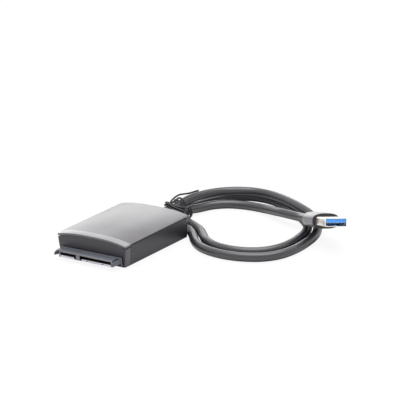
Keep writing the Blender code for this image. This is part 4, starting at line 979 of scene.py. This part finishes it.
def tie_turn(line, y):
    """One turn of wire round the three strands, seen along Y, from the top to the left."""
    reach = CABLE_DIAMETER / 2 + GAP + TIE_DIAMETER / 2 + TIE_SLACK
    top, left, right = strands_at(line, y)
    right_top = math.degrees(math.atan2(right[0] - top[0], top[1] - right[1]))
    left_top = math.degrees(math.atan2(top[0] - left[0], left[1] - top[1]))
    turn = arc(top, reach, 90.0, left_top, TIE_TOP_STEPS)
    turn += arc(left, reach, left_top, 270.0, 5) + arc(right, reach, -90.0, right_top, 5)
    return turn + arc(top, reach, right_top, 90.0, TIE_TOP_STEPS)[:-1]


def make_tie():
    """Coated wire wound round the strands, with its loose end and its folded slack."""
    line = cable_line(78)
    per_turn = len(tie_turn(line, TIE_CENTRE_Y))
    count = per_turn * TIE_TURNS
    wraps = []
    for step in range(count - TIE_TOP_STEPS):
        y = TIE_CENTRE_Y + TIE_TURN_PITCH * (step / count - 0.5) * TIE_TURNS
        x, z = tie_turn(line, y)[step % per_turn]
        wraps.append((x, y, z))
    points = smooth_curve(TIE_LOOSE_END + wraps + TIE_FOLD, 6)
    tie = round_wire("tie", points, TIE_DIAMETER / 2, 4)
    return wear_finish(tie, "tie_black", TIE, "twist_tie")


# Floor, light and camera

def make_floor():
    """Pale floor, nearly white to the camera, so that little but its shadows shows."""
    bpy.ops.mesh.primitive_plane_add(size=12.0, location=(0.0, 0.0, 0.0))
    floor = bpy.context.object
    floor.name = "floor"
    material, nodes, links, shader = new_material("pale floor")
    shader.inputs["Base Color"].default_value = (0.92, 0.92, 0.92, 1.0)
    shader.inputs["Roughness"].default_value = 0.9
    shader.inputs["Specular IOR Level"].default_value = 0.0
    white = nodes.new("ShaderNodeEmission")
    path = nodes.new("ShaderNodeLightPath")
    share = nodes.new("ShaderNodeMath")
    share.operation = "MULTIPLY"
    share.inputs[1].default_value = 0.90
    blend = nodes.new("ShaderNodeMixShader")
    links.new(path.outputs["Is Camera Ray"], share.inputs[0])
    links.new(share.outputs["Value"], blend.inputs["Fac"])
    links.new(shader.outputs["BSDF"], blend.inputs[1])
    links.new(white.outputs["Emission"], blend.inputs[2])
    links.new(blend.outputs["Shader"], nodes["Material Output"].inputs["Surface"])
    floor.data.materials.append(material)


def make_world():
    """Plain white surroundings: full to the camera and in reflections, softer as light."""
    world = bpy.data.worlds.new("studio")
    bpy.context.scene.world = world
    world.use_nodes = True
    nodes = world.node_tree.nodes
    links = world.node_tree.links
    background = nodes["Background"]
    background.inputs["Color"].default_value = (1.0, 1.0, 1.0, 1.0)
    path = nodes.new("ShaderNodeLightPath")
    seen = path.outputs["Is Camera Ray"]
    for ray in ("Is Glossy Ray", "Is Transmission Ray"):
        either = nodes.new("ShaderNodeMath")
        either.operation = "MAXIMUM"
        links.new(seen, either.inputs[0])
        links.new(path.outputs[ray], either.inputs[1])
        seen = either.outputs["Value"]
    level = nodes.new("ShaderNodeMapRange")
    level.inputs["To Min"].default_value = 0.55
    level.inputs["To Max"].default_value = 1.0
    links.new(seen, level.inputs["Value"])
    links.new(level.outputs["Result"], background.inputs["Strength"])


def area_lamp(name, place, target, size, watts):
    lamp = bpy.data.lights.new(name, "AREA")
    lamp.shape = "RECTANGLE"
    lamp.size, lamp.size_y = size
    lamp.energy = watts
    item = bpy.data.objects.new(name, lamp)
    bpy.context.scene.collection.objects.link(item)
    away = Vector(place) - Vector(target)
    item.rotation_euler = away.to_track_quat("Z", "Y").to_euler()
    item.location = place


def make_lights():
    middle = (0.03, 0.03, 0.0)
    area_lamp("overhead softbox", (0.0, 0.1, 1.2), middle, (1.2, 1.2), 15.0)
    area_lamp("back softbox", (-1.00, 1.02, 0.30), middle, (1.3, 0.56), 4.4)


def make_camera():
    """The photograph's camera."""
    camera = bpy.data.cameras.new("camera")
    camera.lens = CAMERA_LENS
    camera.sensor_width = 36.0
    camera.sensor_fit = "HORIZONTAL"
    item = bpy.data.objects.new("camera", camera)
    bpy.context.scene.collection.objects.link(item)
    turn = Matrix((CAMERA_RIGHT, CAMERA_UP, CAMERA_BACK)).transposed().to_4x4()
    item.matrix_world = Matrix.Translation(CAMERA_PLACE) @ turn
    bpy.context.scene.camera = item


# Build

dress_cad_nodes()
make_lid()
make_base()
make_front_frame()
make_feet()
make_receptacle()
make_cable([make_relief(), make_tie(), make_grip(), make_shell(), make_tongue()])
make_floor()
make_world()
make_lights()
make_camera()
bpy.context.scene.view_settings.view_transform = "Standard"
